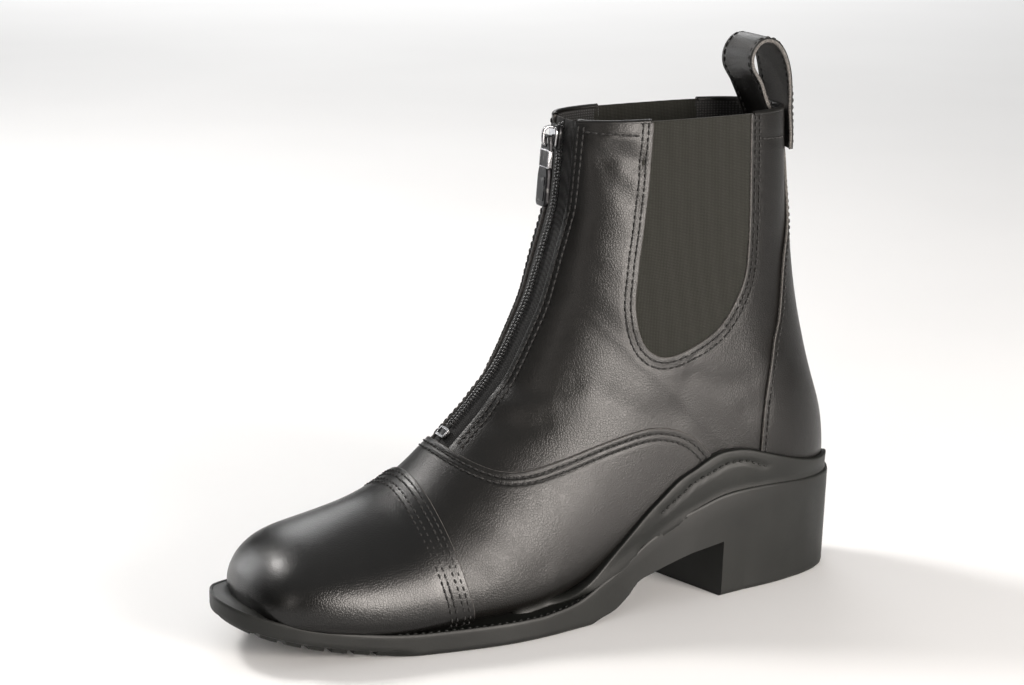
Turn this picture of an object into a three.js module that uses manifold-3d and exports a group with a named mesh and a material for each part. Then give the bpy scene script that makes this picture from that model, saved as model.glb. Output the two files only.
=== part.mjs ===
// Left jodhpur boot: ankle boot with a front zip, two elastic gores, toe cap and moulded rubber sole.
// Frame: millimetres, +Z up, floor at z = 0, toe towards -Y, outer (lateral) side towards +X.
// The origin lies on the floor, in the middle of the sole's length and width.

import * as THREE from 'three';
import { mergeVertices } from 'three/addons/utils/BufferGeometryUtils.js';
import Module from 'manifold-3d';

const wasm = await Module();
wasm.setup();

// Driving sizes of the whole boot
const soleLength = 288;
const soleWidth = 97;
const ballWidth = 88;
const heelWidth = 66;
const collarHeight = 203;
const collarWidth = 48;
const bedHeight = 7;
const heelLift = 25;
const toeSpring = 16;

// Leather, rubber and gaps
const gap = 0.3;
const wall = 2;
const vampStep = 1.2;
const capThickness = 1.2;
const backstayThickness = 1.2;
const wingThickness = 3.6;
const weltHeight = 9.5;
const shankThickness = 3.5;
const lastingMargin = 15;
const insoleThickness = 2.5;
const insoleMargin = 9;
const ledgeRound = 1.5;
const ledgeInset = 1;
const collarClear = 1.5;

// Tread
const grooveWidth = 3;
const grooveDepth = 2;
const groovePitch = 9;
const treadEdge = 3.5;

// Elastic, zip and loop
const goreThickness = 1.3;
const goreRecess = 0.5;
const slotWidth = 19;
const tapeThickness = 0.9;
const tapeRecess = 0.8;
const chainWidth = 6.4;
const chainThickness = 1.8;
const sliderWidth = 8.6;
const sliderLength = 11;
const sliderThickness = 2.6;
const bailThickness = 1.6;
const bailHeight = 4.2;
const bailLength = 8;
const pullLength = 29;
const pullWidth = 8.6;
const pullThickness = 1.6;
const pinRadius = 0.8;
const eyeGap = 0.5;
const eyeWall = 1.5;
const eyeLength = 4.5;
const bailWall = 1.4;
const stopLength = 4.5;
const stopThickness = 1.4;
const loopWidth = 24;
const loopThickness = 2.2;
const loopRise = 28.6;
const loopReach = 21.6;
const loopSewn = 18;
const loopClearance = 1.9;

// Mesh fineness
const sectionPoints = 12;
const outlinePoints = 60;

const clamp = (value) => Math.min(1, Math.max(0, value));
const mix = (a, b, t) => a + (b - a) * t;

// Height of the tread's lowest line: flat under the ball, sprung up at the toe
const springFrom = -0.235 * soleLength;
function springAt(y) {
  const reach = clamp((springFrom - y) / (springFrom + soleLength / 2));
  return toeSpring * reach ** 1.7;
}

// Height of the last's underside over the floor: sprung toe, flat ball, rising to the heel seat
const archFrom = -0.094 * soleLength;
const archTo = 0.34 * soleLength;
function bedAt(y) {
  const t = clamp((y - archFrom) / (archTo - archFrom));
  return bedHeight + springAt(y) + heelLift * t * t * (3 - 2 * t);
}

// Fan of sections from the toe tip to the collar. Each lies in the plane through its top point, on
// the throat line, and its back point, on the underside or on the heel line.
// topY, backY: shares of the sole's length. topRise, backRise: shares of the leg's height over the bed.
// topX, backX, outer, inner: shares of half the width, which runs from the ball's to the collar's over
// the leg's sections; outer and inner reach from the middle.
// widest: where the section is widest, from top to back. domed, squared: its fullness over and under that.
const columns = ['topY', 'topRise', 'topX', 'backY', 'backRise', 'backX', 'outer', 'inner', 'widest', 'domed',
  'squared'];
const lastTable = [
  [-0.456, 0.022, 0.18, -0.453, 0.006, 0.18, 0.14, 0.14, 0.50, 2.0, 2.0],
  [-0.453, 0.040, 0.18, -0.449, 0.000, 0.18, 0.28, 0.28, 0.58, 2.0, 2.2],
  [-0.447, 0.069, 0.16, -0.443, 0.000, 0.16, 0.43, 0.43, 0.64, 2.1, 2.5],
  [-0.437, 0.101, 0.14, -0.432, 0.000, 0.14, 0.56, 0.56, 0.68, 2.2, 2.8],
  [-0.418, 0.139, 0.12, -0.412, 0.000, 0.12, 0.68, 0.69, 0.70, 2.2, 3.0],
  [-0.387, 0.174, 0.09, -0.380, 0.000, 0.08, 0.79, 0.81, 0.72, 2.2, 3.0],
  [-0.344, 0.205, 0.06, -0.336, 0.000, 0.05, 0.87, 0.89, 0.74, 2.1, 3.0],
  [-0.292, 0.239, 0.04, -0.283, 0.000, 0.03, 0.92, 0.93, 0.76, 2.0, 3.0],
  [-0.237, 0.277, 0.03, -0.223, 0.000, 0.01, 0.96, 0.94, 0.77, 1.95, 3.0],
  [-0.188, 0.332, 0.01, -0.146, 0.000, 0.00, 0.99, 0.91, 0.78, 1.85, 3.0],
  [-0.144, 0.400, -0.01, -0.063, 0.000, 0.00, 0.98, 0.84, 0.78, 1.9, 3.0],
  [-0.099, 0.446, -0.03, 0.028, 0.000, 0.00, 0.91, 0.77, 0.76, 2.0, 3.0],
  [-0.057, 0.482, -0.04, 0.118, 0.000, 0.00, 0.85, 0.73, 0.72, 2.2, 3.0],
  [-0.027, 0.526, -0.05, 0.209, 0.000, 0.00, 0.81, 0.72, 0.68, 2.4, 3.0],
  [-0.004, 0.572, -0.05, 0.300, 0.000, -0.01, 0.78, 0.73, 0.64, 2.6, 3.0],
  [0.008, 0.622, -0.06, 0.383, 0.000, -0.01, 0.77, 0.74, 0.62, 2.8, 2.9],
  [0.017, 0.668, -0.06, 0.444, 0.012, -0.01, 0.81, 0.79, 0.60, 3.0, 2.5],
  [0.025, 0.708, -0.07, 0.474, 0.058, -0.01, 0.85, 0.83, 0.60, 3.1, 2.25],
  [0.032, 0.746, -0.07, 0.482, 0.127, -0.02, 0.88, 0.86, 0.60, 3.2, 2.1],
  [0.038, 0.781, -0.08, 0.477, 0.220, -0.03, 0.91, 0.89, 0.59, 3.2, 2.05],
  [0.042, 0.815, -0.08, 0.458, 0.324, -0.04, 0.93, 0.92, 0.58, 3.2, 2.05],
  [0.046, 0.879, -0.09, 0.427, 0.543, -0.07, 0.94, 0.97, 0.56, 3.2, 2.2],
  [0.049, 0.941, -0.10, 0.413, 0.775, -0.10, 0.97, 1.03, 0.55, 3.2, 2.4],
  [0.052, 1.000, -0.11, 0.408, 1.000, -0.13, 1.00, 1.10, 0.54, 3.2, 2.6],
].map((row) => Object.fromEntries(columns.map((name, i) => [name, row[i]])));
const lastRow = lastTable.length - 1;
const legFrom = 15;
const legHeight = collarHeight - bedHeight - heelLift;
const widthAt = (u) => mix(ballWidth, collarWidth, clamp((u - legFrom) / (lastRow - legFrom)));

function splineColumn(name, u) {
  const i = Math.min(lastRow - 1, Math.max(0, Math.floor(u)));
  const t = u - i;
  const at = (k) => lastTable[Math.min(lastRow, Math.max(0, k))][name];
  const [a, b, c, d] = [at(i - 1), at(i), at(i + 1), at(i + 2)];
  return b + 0.5 * t * (c - a + t * (2 * a - 5 * b + 4 * c - d + t * (3 * (b - c) + d - a)));
}

// One side of a section as points from top to back, spaced evenly along it
function halfSection(u, side, count) {
  const value = (name) => splineColumn(name, u);
  const backY = value('backY') * soleLength;
  const bed = bedAt(backY);
  const top = [value('topY') * soleLength, bed + value('topRise') * legHeight];
  const back = [backY, bed + value('backRise') * legHeight];
  const half = widthAt(u) / 2;
  const reach = value(side > 0 ? 'outer' : 'inner') * half;
  const widest = value('widest');
  const fine = 48;
  const points = [];
  for (let k = 0; k <= fine; k += 1) {
    const angle = (Math.PI * k) / fine;
    const upper = angle <= Math.PI / 2;
    const power = 2 / (upper ? value('domed') : value('squared'));
    const out = Math.abs(Math.sin(angle)) ** power;
    const along = Math.abs(Math.cos(angle)) ** power;
    const share = upper ? widest * (1 - along) : widest + (1 - widest) * along;
    points.push(new THREE.Vector3(
      mix(value('topX'), value('backX'), share) * half + side * reach * out,
      mix(top[0], back[0], share),
      mix(top[1], back[1], share),
    ));
  }
  const lengths = [0];
  for (let k = 1; k <= fine; k += 1) lengths.push(lengths[k - 1] + points[k].distanceTo(points[k - 1]));
  const spaced = [];
  let k = 1;
  for (let j = 0; j <= count; j += 1) {
    const goal = (lengths[fine] * j) / count;
    while (k < fine && lengths[k] < goal) k += 1;
    const t = (goal - lengths[k - 1]) / (lengths[k] - lengths[k - 1] || 1);
    spaced.push(points[k - 1].clone().lerp(points[k], t));
  }
  return spaced;
}

// A whole ring of the last: down the outer side, back up the inner side
function lastRing(u) {
  const outer = halfSection(u, 1, sectionPoints);
  const inner = halfSection(u, -1, sectionPoints);
  return outer.concat(inner.slice(1, -1).reverse());
}

const rings = lastTable.map((_, i) => lastRing(i));

// Outward directions at every point of every ring
const normals = rings.map((ring, i) => ring.map((point, j) => {
  const n = ring.length;
  const around = ring[(j + 1) % n].clone().sub(ring[(j + n - 1) % n]);
  const next = rings[Math.min(lastRow, i + 1)][j];
  const past = rings[Math.max(0, i - 1)][j];
  const along = next.clone().sub(past);
  const normal = around.cross(along).normalize();
  if (i === lastRow) normal.setZ(0).normalize();
  return normal;
}));

function meshGeometry(points, faces) {
  const geometry = new THREE.BufferGeometry();
  geometry.setAttribute('position', new THREE.Float32BufferAttribute(points.flatMap((p) => [p.x, p.y, p.z]), 3));
  geometry.setIndex(faces.flat());
  return geometry;
}

// Closed body through rings of equal, even length, with strips across each end
function loftGeometry(loops) {
  const n = loops[0].length;
  const points = loops.flat();
  const faces = [];
  for (let i = 0; i + 1 < loops.length; i += 1) {
    for (let j = 0; j < n; j += 1) {
      const a = i * n + j;
      const b = i * n + ((j + 1) % n);
      faces.push([a, a + n, b], [b, a + n, b + n]);
    }
  }
  const end = (loops.length - 1) * n;
  for (let j = 0; j < n / 2; j += 1) {
    const [a, b, c, d] = [j, j + 1, n - j - 1, (n - j) % n];
    if (b !== c) faces.push([a, b, c], [end + a, end + c, end + b]);
    if (a !== d) faces.push([a, c, d], [end + a, end + d, end + c]);
  }
  return meshGeometry(points, faces);
}

function toSolid(geometry) {
  const bare = geometry.clone();
  bare.deleteAttribute('normal');
  bare.deleteAttribute('uv');
  const merged = mergeVertices(bare, 1e-5);
  const triVerts = new Uint32Array(merged.index.array);
  const vertProperties = new Float32Array(merged.attributes.position.array);
  const solid = new wasm.Manifold(new wasm.Mesh({ numProp: 3, vertProperties, triVerts }));
  if (solid.volume() >= 0) return solid;
  for (let i = 0; i < triVerts.length; i += 3) [triVerts[i], triVerts[i + 1]] = [triVerts[i + 1], triVerts[i]];
  return new wasm.Manifold(new wasm.Mesh({ numProp: 3, vertProperties, triVerts }));
}

function toGeometry(solid) {
  const mesh = solid.getMesh();
  const geometry = new THREE.BufferGeometry();
  geometry.setAttribute('position', new THREE.Float32BufferAttribute(mesh.vertProperties, 3));
  geometry.setIndex(Array.from(mesh.triVerts));
  geometry.computeVertexNormals();
  return geometry;
}

// The last grown by a distance, as a filled solid. A lid raises its collar, for cutting it open.
const shells = new Map();
function last(offset, lid = 0) {
  const key = `${offset} ${lid}`;
  if (!shells.has(key)) {
    const loops = rings.map((ring, i) => ring.map((p, j) => p.clone().addScaledVector(normals[i][j], offset)));
    if (lid > 0) loops.push(loops[lastRow].map((p) => p.clone().setZ(p.z + lid)));
    shells.set(key, toSolid(loftGeometry(loops)));
  }
  return shells.get(key);
}

// Prism of a side-view outline (points as y, z), from one x to another
function sideCut(outline, fromX, toX) {
  const shape = new THREE.Shape(outline.map(([y, z]) => new THREE.Vector2(y, z)));
  const geometry = new THREE.ExtrudeGeometry(shape, { depth: toX - fromX, bevelEnabled: false });
  const { position } = geometry.attributes;
  for (let i = 0; i < position.count; i += 1) {
    position.setXYZ(i, position.getZ(i) + fromX, position.getX(i), position.getY(i));
  }
  return toSolid(geometry);
}

// Smooth side-view line through shares of the sole's length and the collar's height
function sideCurve(shares, steps) {
  const points = shares.map(([y, z]) => new THREE.Vector2(y * soleLength, z * collarHeight));
  return new THREE.SplineCurve(points).getPoints(steps).map((p) => [p.x, p.y]);
}

const farX = soleWidth;
const farY = soleLength;
const farZ = 2 * collarHeight;

// Seam and edge lines of the uppers, seen from the side, as shares of length and collar height
const vampSeam = [[-0.215, 0.455], [-0.188, 0.421], [-0.150, 0.362], [-0.105, 0.329], [-0.060, 0.325],
  [-0.003, 0.342], [0.056, 0.364], [0.115, 0.380], [0.153, 0.380], [0.190, 0.364], [0.217, 0.337],
  [0.240, 0.295], [0.250, 0.240]];
const capSeam = [[-0.198, 0.33], [-0.193, 0.25], [-0.181, 0.16], [-0.165, 0.07], [-0.157, 0.0]];
const goreOutline = [[0.157, 1.03], [0.141, 0.840], [0.122, 0.700], [0.116, 0.625], [0.127, 0.556],
  [0.158, 0.524], [0.205, 0.537], [0.260, 0.578], [0.302, 0.658], [0.314, 0.740], [0.318, 0.870],
  [0.320, 1.03]];
const wingTop = [[-0.080, 0.02], [-0.056, 0.036], [0.000, 0.057], [0.052, 0.107], [0.098, 0.168],
  [0.122, 0.205], [0.143, 0.234], [0.176, 0.268], [0.206, 0.287], [0.233, 0.305], [0.258, 0.314],
  [0.289, 0.312], [0.317, 0.302], [0.359, 0.283], [0.394, 0.268], [0.440, 0.254], [0.530, 0.246]];
const backstayEdge = [[0.408, 1.03], [0.408, 0.90], [0.404, 0.78], [0.384, 0.688], [0.368, 0.58],
  [0.350, 0.517], [0.331, 0.410], [0.325, 0.350], [0.322, 0.25]];
const ledgeLine = [[-0.056, 0.047], [0.000, 0.058], [0.040, 0.082], [0.080, 0.110], [0.122, 0.150],
  [0.170, 0.185], [0.215, 0.208], [0.262, 0.226], [0.330, 0.230], [0.420, 0.222], [0.510, 0.215]];

// Height of a side-view line at one place along the boot
function heightOn(line, y) {
  if (y <= line[0][0]) return line[0][1];
  for (let i = 1; i < line.length; i += 1) {
    if (y <= line[i][0]) {
      const t = (y - line[i - 1][0]) / (line[i][0] - line[i - 1][0]);
      return mix(line[i - 1][1], line[i][1], t);
    }
  }
  return line[line.length - 1][1];
}

const ledgeCurve = sideCurve(ledgeLine, 24);
const wingCurve = sideCurve(wingTop, 32);

// Top of the proud outsole: the welt's ledge at the forefoot, the heel's ridge at the back
function ledgeAt(y) {
  if (y <= ledgeCurve[0][0]) return springAt(y) + weltHeight;
  return heightOn(ledgeCurve, y);
}

// Outline of the sole from above. y: share of the sole's length. outer, inner: shares of half its width.
const soleColumns = ['y', 'outer', 'inner'];
const soleTable = [
  [-0.485, 0.50, -0.16],
  [-0.460, 0.64, -0.37],
  [-0.420, 0.74, -0.60],
  [-0.370, 0.80, -0.79],
  [-0.300, 0.87, -0.92],
  [-0.240, 0.92, -0.98],
  [-0.180, 0.97, -1.00],
  [-0.110, 1.00, -0.92],
  [-0.050, 0.97, -0.81],
  [0.020, 0.89, -0.71],
  [0.090, 0.81, -0.67],
  [0.160, 0.77, -0.67],
  [0.230, 0.76, -0.69],
  [0.300, 0.74, -0.70],
  [0.370, 0.68, -0.66],
  [0.430, 0.56, -0.55],
  [0.475, 0.36, -0.36],
].map((row) => Object.fromEntries(soleColumns.map((name, i) => [name, row[i]])));
const soleTipX = 0.20;
const soleHeelX = 0;

function soleOutline(count) {
  const at = (x, y) => new THREE.Vector3((x * soleWidth) / 2, y * soleLength, 0);
  const outer = soleTable.map((row) => at(row.outer, row.y));
  const inner = soleTable.map((row) => at(row.inner, row.y)).reverse();
  const points = [at(soleTipX, -0.5), ...outer, at(soleHeelX, 0.5), ...inner];
  return new THREE.CatmullRomCurve3(points, true, 'centripetal').getSpacedPoints(count).slice(0, count);
}

// One ring of the sole, drawn in from its outline, at the height that a function of y gives
function soleRing(outline, inset, heightAt) {
  const n = outline.length;
  return outline.map((p, i) => {
    const along = outline[(i + 1) % n].clone().sub(outline[(i + n - 1) % n]);
    const inward = new THREE.Vector3(-along.y, along.x, 0).normalize();
    const moved = p.clone().addScaledVector(inward, inset(p.y));
    return moved.setZ(heightAt(p.y));
  });
}

const heelFrom = 0.20 * soleLength;
const heelTaper = 0.05 * heelWidth;

// Full-depth block of the outsole, welt ledge and heel
function soleBlock() {
  const outline = soleOutline(outlinePoints);
  const taper = (y) => heelTaper * clamp((y - heelFrom) / (0.1 * soleLength))
    * (1 - 0.75 * clamp((y / soleLength - 0.4) / 0.1));
  return toSolid(loftGeometry([
    soleRing(outline, (y) => taper(y) + treadEdge, springAt),
    soleRing(outline, taper, (y) => springAt(y) + treadEdge),
    soleRing(outline, () => 0, (y) => ledgeAt(y) - ledgeRound),
    soleRing(outline, () => ledgeInset, ledgeAt),
  ]));
}

// Side-view band that follows the last's underside, from one distance over it to another
function bedBand(low, high) {
  const ys = Array.from({ length: 25 }, (_, i) => mix(-0.5, 0.5, i / 24) * soleLength);
  return sideCut([...ys.map((y) => [y, bedAt(y) + low]), ...ys.reverse().map((y) => [y, bedAt(y) + high])],
    -farX, farX);
}

// Space under the arch, up to the skewed face of the heel and to the shank's plate
const breastY = 0.227 * soleLength;
const breastSkew = 0.24;
function archCut() {
  const roof = sideCurve([[-0.055, -0.03], [-0.002, 0.007], [0.033, 0.022], [0.057, 0.044], [0.080, 0.074],
    [0.126, 0.100], [0.227, 0.122]], 14);
  const outline = [...roof.slice(0, -1), [breastY, roof[roof.length - 1][1]], [breastY, -farZ / 8],
    [roof[0][0], -farZ / 8]];
  const geometry = new THREE.ExtrudeGeometry(
    new THREE.Shape(outline.map(([y, z]) => new THREE.Vector2(y, z))),
    { depth: 2 * farX, bevelEnabled: false },
  );
  const { position } = geometry.attributes;
  for (let i = 0; i < position.count; i += 1) {
    const x = position.getZ(i) - farX;
    position.setXYZ(i, x, position.getX(i) + breastSkew * x, position.getY(i));
  }
  return toSolid(geometry).subtract(bedBand(-shankThickness, farZ));
}

function boxAt(size, centre) {
  return toSolid(new THREE.BoxGeometry(...size).translate(...centre));
}

// Straight grooves across the tread, at the forefoot and under the heel
function treadCuts() {
  const cuts = [];
  const groove = (y) => {
    const height = grooveDepth * 2;
    cuts.push(boxAt([2 * farX, grooveWidth, height], [0, y, springAt(y)]));
  };
  for (let y = -0.465 * soleLength; y < -0.04 * soleLength; y += groovePitch) groove(y);
  for (let y = 0.30 * soleLength; y < 0.47 * soleLength; y += groovePitch) groove(y);
  return cuts.reduce((sum, cut) => sum.add(cut));
}

// Region under and in front of the vamp's seam, in side view, shifted back by a distance
function vampRegion(shift) {
  const seam = sideCurve(vampSeam, 26).map(([y, z]) => [y + shift, z + shift]);
  return sideCut([...seam, [seam[seam.length - 1][0], -farZ], [-farY, -farZ], [-farY, seam[0][1]]], -farX, farX);
}

function makeSole() {
  const wing = last(wingThickness).intersect(
    sideCut([...wingCurve, [farY, wingCurve[wingCurve.length - 1][1]], [farY, 0], [wingCurve[0][0], 0]], -farX, farX),
  );
  return soleBlock()
    .add(wing)
    .subtract(last(gap))
    .subtract(last(vampStep + gap).intersect(vampRegion(gap)))
    .subtract(archCut())
    .subtract(treadCuts());
}

// A frame on the throat line: across the boot, up along the line, and out of the leather
function throatFrame(u, offset) {
  const place = halfSection(u, 1, 1)[0];
  const up = halfSection(u + 0.1, 1, 1)[0].sub(halfSection(u - 0.1, 1, 1)[0]).setX(0).normalize();
  const out = new THREE.Vector3(0, -up.z, up.y);
  const across = new THREE.Vector3().crossVectors(up, out);
  return new THREE.Matrix4().makeBasis(across, up, out).setPosition(place.addScaledVector(out, offset));
}

// Strip along the throat line, from a section up to over the collar, for the zip and its slot
const zipFootRow = 9.95;
function throatRegion(half, fromRow) {
  const reach = 4 * wall;
  const loops = [];
  const corners = [[-half, reach], [half, reach], [half, -reach], [-half, -reach]];
  const ring = (frame, rise) => corners.map(([x, out]) => new THREE.Vector3(x, rise, out).applyMatrix4(frame));
  for (let u = fromRow; u < lastRow - 0.1; u += 1) loops.push(ring(throatFrame(u, 0), 0));
  const top = throatFrame(lastRow, 0);
  loops.push(ring(top, 0), ring(top, reach));
  return toSolid(loftGeometry(loops));
}

function goreRegion(inset) {
  const middle = [0.21 * soleLength, 0.75 * collarHeight];
  return sideCurve(goreOutline, 30).map(([y, z]) => {
    const away = new THREE.Vector2(y - middle[0], z - middle[1]);
    const flat = Math.abs(away.x) / (Math.abs(away.x) + Math.abs(away.y));
    return [y - Math.sign(away.x) * inset * Math.sqrt(flat), z > collarHeight ? z : z + inset * (1 - flat)];
  });
}

// Opening in the lasted underside, a margin in from the sole's edge
function undersideCut() {
  const outline = soleOutline(48);
  const inset = () => lastingMargin;
  return toSolid(loftGeometry([
    soleRing(outline, inset, (y) => bedAt(y) - 3 * wall),
    soleRing(outline, inset, (y) => bedAt(y) + 2 * wall),
  ]));
}

function makeUpper() {
  const lid = 4 * wall;
  const body = last(0).add(last(vampStep).intersect(vampRegion(0)));
  return body
    .subtract(last(-wall, lid))
    .subtract(throatRegion(slotWidth / 2, zipFootRow))
    .subtract(sideCut(goreRegion(0), 4, farX))
    .subtract(sideCut(goreRegion(0), -farX, -4))
    .subtract(undersideCut());
}

function makeToeCap() {
  const seam = sideCurve(capSeam, 10);
  const ledge = [];
  for (let y = -0.52 * soleLength; y < seam[seam.length - 1][0]; y += soleLength / 48) ledge.push([y, ledgeAt(y) + gap]);
  const foot = seam.filter(([y, z]) => z > ledgeAt(y) + gap);
  const corner = [seam[seam.length - 1][0], ledgeAt(seam[seam.length - 1][0]) + gap];
  const region = [...foot, corner, ...ledge.reverse(), [-farY, ledge[ledge.length - 1][1]], [-farY, farZ],
    [seam[0][0], farZ]];
  const inside = vampStep + gap;
  return last(inside + capThickness).subtract(last(inside)).intersect(sideCut(region, -farX, farX));
}

function makeBackstay() {
  const edge = sideCurve(backstayEdge, 20);
  const top = collarHeight - collarClear;
  const clear = edge.filter(([y, z]) => z < top - gap && z > heightOn(wingCurve, y) + 2 * gap);
  const [frontY] = clear[clear.length - 1];
  const foot = [frontY, ...wingCurve.map(([y]) => y).filter((y) => y > frontY + gap)]
    .map((y) => [y, heightOn(wingCurve, y) + gap]);
  const region = [...clear, ...foot, [farY, foot[foot.length - 1][1]], [farY, top], [clear[0][0], top]];
  return last(gap + backstayThickness).subtract(last(gap)).intersect(sideCut(region, -farX, farX));
}

function makeGore(side) {
  const panel = last(-goreRecess).subtract(last(-goreRecess - goreThickness, 4 * wall));
  const region = sideCut(goreRegion(gap), side > 0 ? 4 : -farX, side > 0 ? farX : -4);
  return panel.intersect(region);
}

function makeInsole() {
  const outline = soleOutline(48);
  const inset = () => insoleMargin;
  const plate = toSolid(loftGeometry([
    soleRing(outline, inset, (y) => bedAt(y) + wall + gap),
    soleRing(outline, inset, (y) => bedAt(y) + wall + gap + insoleThickness),
  ]));
  return plate.intersect(last(-wall - gap));
}

const chainFootRow = 10.4;
function makeTape() {
  const band = last(-tapeRecess).subtract(last(-tapeRecess - tapeThickness, 4 * wall));
  return band.intersect(throatRegion(slotWidth / 2 - gap, zipFootRow + 0.05));
}

function makeChain() {
  const inside = gap - tapeRecess;
  const band = last(inside + chainThickness).subtract(last(inside, 4 * wall));
  return band.intersect(throatRegion(chainWidth / 2, chainFootRow));
}

const chainTop = gap - tapeRecess + chainThickness;
const sliderFrame = throatFrame(lastRow - 0.7, chainTop + gap);
const stopFrame = throatFrame(10.0, gap - tapeRecess);

// Plate with rounded sides, in its own frame: width along x, length along y, thickness up z
function plate(points, thickness) {
  const shape = new THREE.Shape(points.map(([x, y]) => new THREE.Vector2(x, y)));
  return new THREE.ExtrudeGeometry(shape, { depth: thickness, bevelEnabled: false });
}

const pivotHeight = sliderThickness + bailHeight / 2 - 0.2;

function makeSlider() {
  const [w, l] = [sliderWidth / 2, sliderLength / 2];
  const body = toSolid(plate([[-w, l * 0.5], [-w * 0.8, -l], [w * 0.8, -l], [w, l * 0.5], [w * 0.7, l],
    [0, l * 0.75], [-w * 0.7, l]], sliderThickness));
  const arch = bailLength / 2;
  const rise = sliderThickness + bailHeight;
  const bail = new THREE.Shape([[-arch, sliderThickness - 0.5], [-arch, rise - bailWall], [-arch * 0.6, rise],
    [arch * 0.6, rise], [arch, rise - bailWall], [arch, sliderThickness - 0.5]].map(([y, z]) => new THREE.Vector2(y, z)));
  const inner = arch - bailWall;
  bail.holes.push(new THREE.Path([[-inner, sliderThickness], [inner, sliderThickness],
    [inner, rise - 2], [inner * 0.6, rise - 1.2], [-inner * 0.6, rise - 1.2], [-inner, rise - 2]]
    .map(([y, z]) => new THREE.Vector2(y, z))));
  const bridge = new THREE.ExtrudeGeometry(bail, { depth: bailThickness, bevelEnabled: false });
  const { position } = bridge.attributes;
  for (let i = 0; i < position.count; i += 1) {
    position.setXYZ(i, position.getZ(i) - bailThickness / 2, position.getX(i), position.getY(i));
  }
  const solid = body.add(toSolid(bridge));
  return toSolid(toGeometry(solid).applyMatrix4(sliderFrame));
}

// Pull tab with a pin at its head that turns under the slider's bail
function makePull() {
  const half = pullWidth / 2;
  const armIn = bailThickness / 2 + eyeGap;
  const armOut = armIn + eyeWall;
  const shoulder = -eyeLength - eyeGap;
  const cut = 2 * eyeWall;
  const foot = -pullLength;
  const outline = new THREE.Shape([[-armOut, pinRadius], [-half, shoulder], [-half, foot + cut], [-half * 0.6, foot],
    [half * 0.6, foot], [half, foot + cut], [half, shoulder], [armOut, pinRadius]].map(([x, y]) => new THREE.Vector2(x, y)));
  outline.holes.push(new THREE.Path([[-armIn, -pinRadius], [-armIn, -eyeLength], [armIn, -eyeLength], [armIn, -pinRadius]]
    .map(([x, y]) => new THREE.Vector2(x, y))));
  const tab = new THREE.ExtrudeGeometry(outline, { depth: pullThickness, bevelEnabled: false });
  tab.translate(0, 0, -pullThickness / 2);
  return toSolid(toGeometry(toSolid(tab)).applyMatrix4(
    sliderFrame.clone().multiply(new THREE.Matrix4().makeTranslation(0, 0, pivotHeight)),
  ));
}

function makeStop() {
  const half = chainWidth / 2 + 0.8;
  const body = plate([[-half, 0], [half, 0], [half, stopLength], [-half, stopLength]], stopThickness);
  return toSolid(body.applyMatrix4(stopFrame));
}

// Teardrop strap at the back: up the outside, over, and down inside the collar. Its sewn ends are bowed
// to the collar's curve and lean with the back line.
const loopAcross = 4;
const loopSteps = 26;
function makeLoop() {
  const rim = lastTable[lastRow];
  const below = lastTable[lastRow - 1];
  const half = collarWidth / 2;
  const back = rim.backY * soleLength;
  const lean = ((below.backY - rim.backY) * soleLength) / ((rim.backRise - below.backRise) * legHeight);
  const depth = (1 - rim.widest) * (rim.backY - rim.topY) * soleLength;
  const bow = (x) => depth * (1 - (1 - Math.abs(x / half) ** rim.squared) ** (1 / rim.squared));
  const outerY = back + gap + backstayThickness + 2 * gap + loopThickness / 2;
  const innerY = back - wall - loopClearance - loopThickness / 2;
  const outside = [[0, -0.105], [0.028, 0.175], [0.148, 0.524], [0.306, 0.804], [0.509, 0.979], [0.787, 1],
    [1, 0.839], [0.991, 0.612], [0.764, 0.367]];
  const inside = [[0.222, 0.147], [0.056, -0.087], [0, -0.315]];
  const route = [
    [outerY, -loopSewn],
    ...outside.map(([y, z]) => [outerY - y * loopReach, z * loopRise]),
    ...inside.map(([y, z]) => [innerY - y * loopReach, z * loopRise]),
    [innerY, -loopSewn],
  ];
  const curve = new THREE.CatmullRomCurve3(route.map(([y, z]) => new THREE.Vector3(0, y - lean * Math.min(0, z), z)));
  const loops = Array.from({ length: loopSteps + 1 }, (_, i) => {
    const at = curve.getPointAt(i / loopSteps);
    const tangent = curve.getTangentAt(i / loopSteps);
    const face = (side) => Array.from({ length: loopAcross + 1 }, (__, k) => {
      const x = ((k / loopAcross - 0.5) * loopWidth) * side;
      const out = (side * loopThickness) / 2;
      return new THREE.Vector3(
        x + (rim.backX * collarWidth) / 2,
        at.y + out * tangent.z - bow(x) * clamp(1 - at.z / loopWidth),
        collarHeight + at.z - out * tangent.y,
      );
    });
    return [...face(1), ...face(-1)];
  });
  return toSolid(loftGeometry(loops));
}

const materials = {
  leather: { color: 0x1c1a18, roughness: 0.42, metalness: 0 },
  rubber: { color: 0x1a1b19, roughness: 0.7, metalness: 0 },
  elastic: { color: 0x23241f, roughness: 0.9, metalness: 0 },
  lining: { color: 0x191919, roughness: 0.9, metalness: 0 },
  metal: { color: 0x2c2c2e, roughness: 0.3, metalness: 0.9 },
};

const group = new THREE.Group();
function addPart(name, solid, material) {
  const mesh = new THREE.Mesh(toGeometry(solid), new THREE.MeshStandardMaterial(materials[material]));
  mesh.name = name;
  group.add(mesh);
}

addPart('sole', makeSole(), 'rubber');
addPart('upper', makeUpper(), 'leather');
addPart('toe_cap', makeToeCap(), 'leather');
addPart('backstay', makeBackstay(), 'leather');
addPart('gore_outer', makeGore(1), 'elastic');
addPart('gore_inner', makeGore(-1), 'elastic');
addPart('insole', makeInsole(), 'lining');
addPart('zip_tape', makeTape(), 'elastic');
addPart('zip_chain', makeChain(), 'elastic');
addPart('zip_stop', makeStop(), 'metal');
addPart('zip_slider', makeSlider(), 'metal');
addPart('zip_pull', makePull(), 'metal');
addPart('pull_loop', makeLoop(), 'leather');

export default group;
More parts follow.
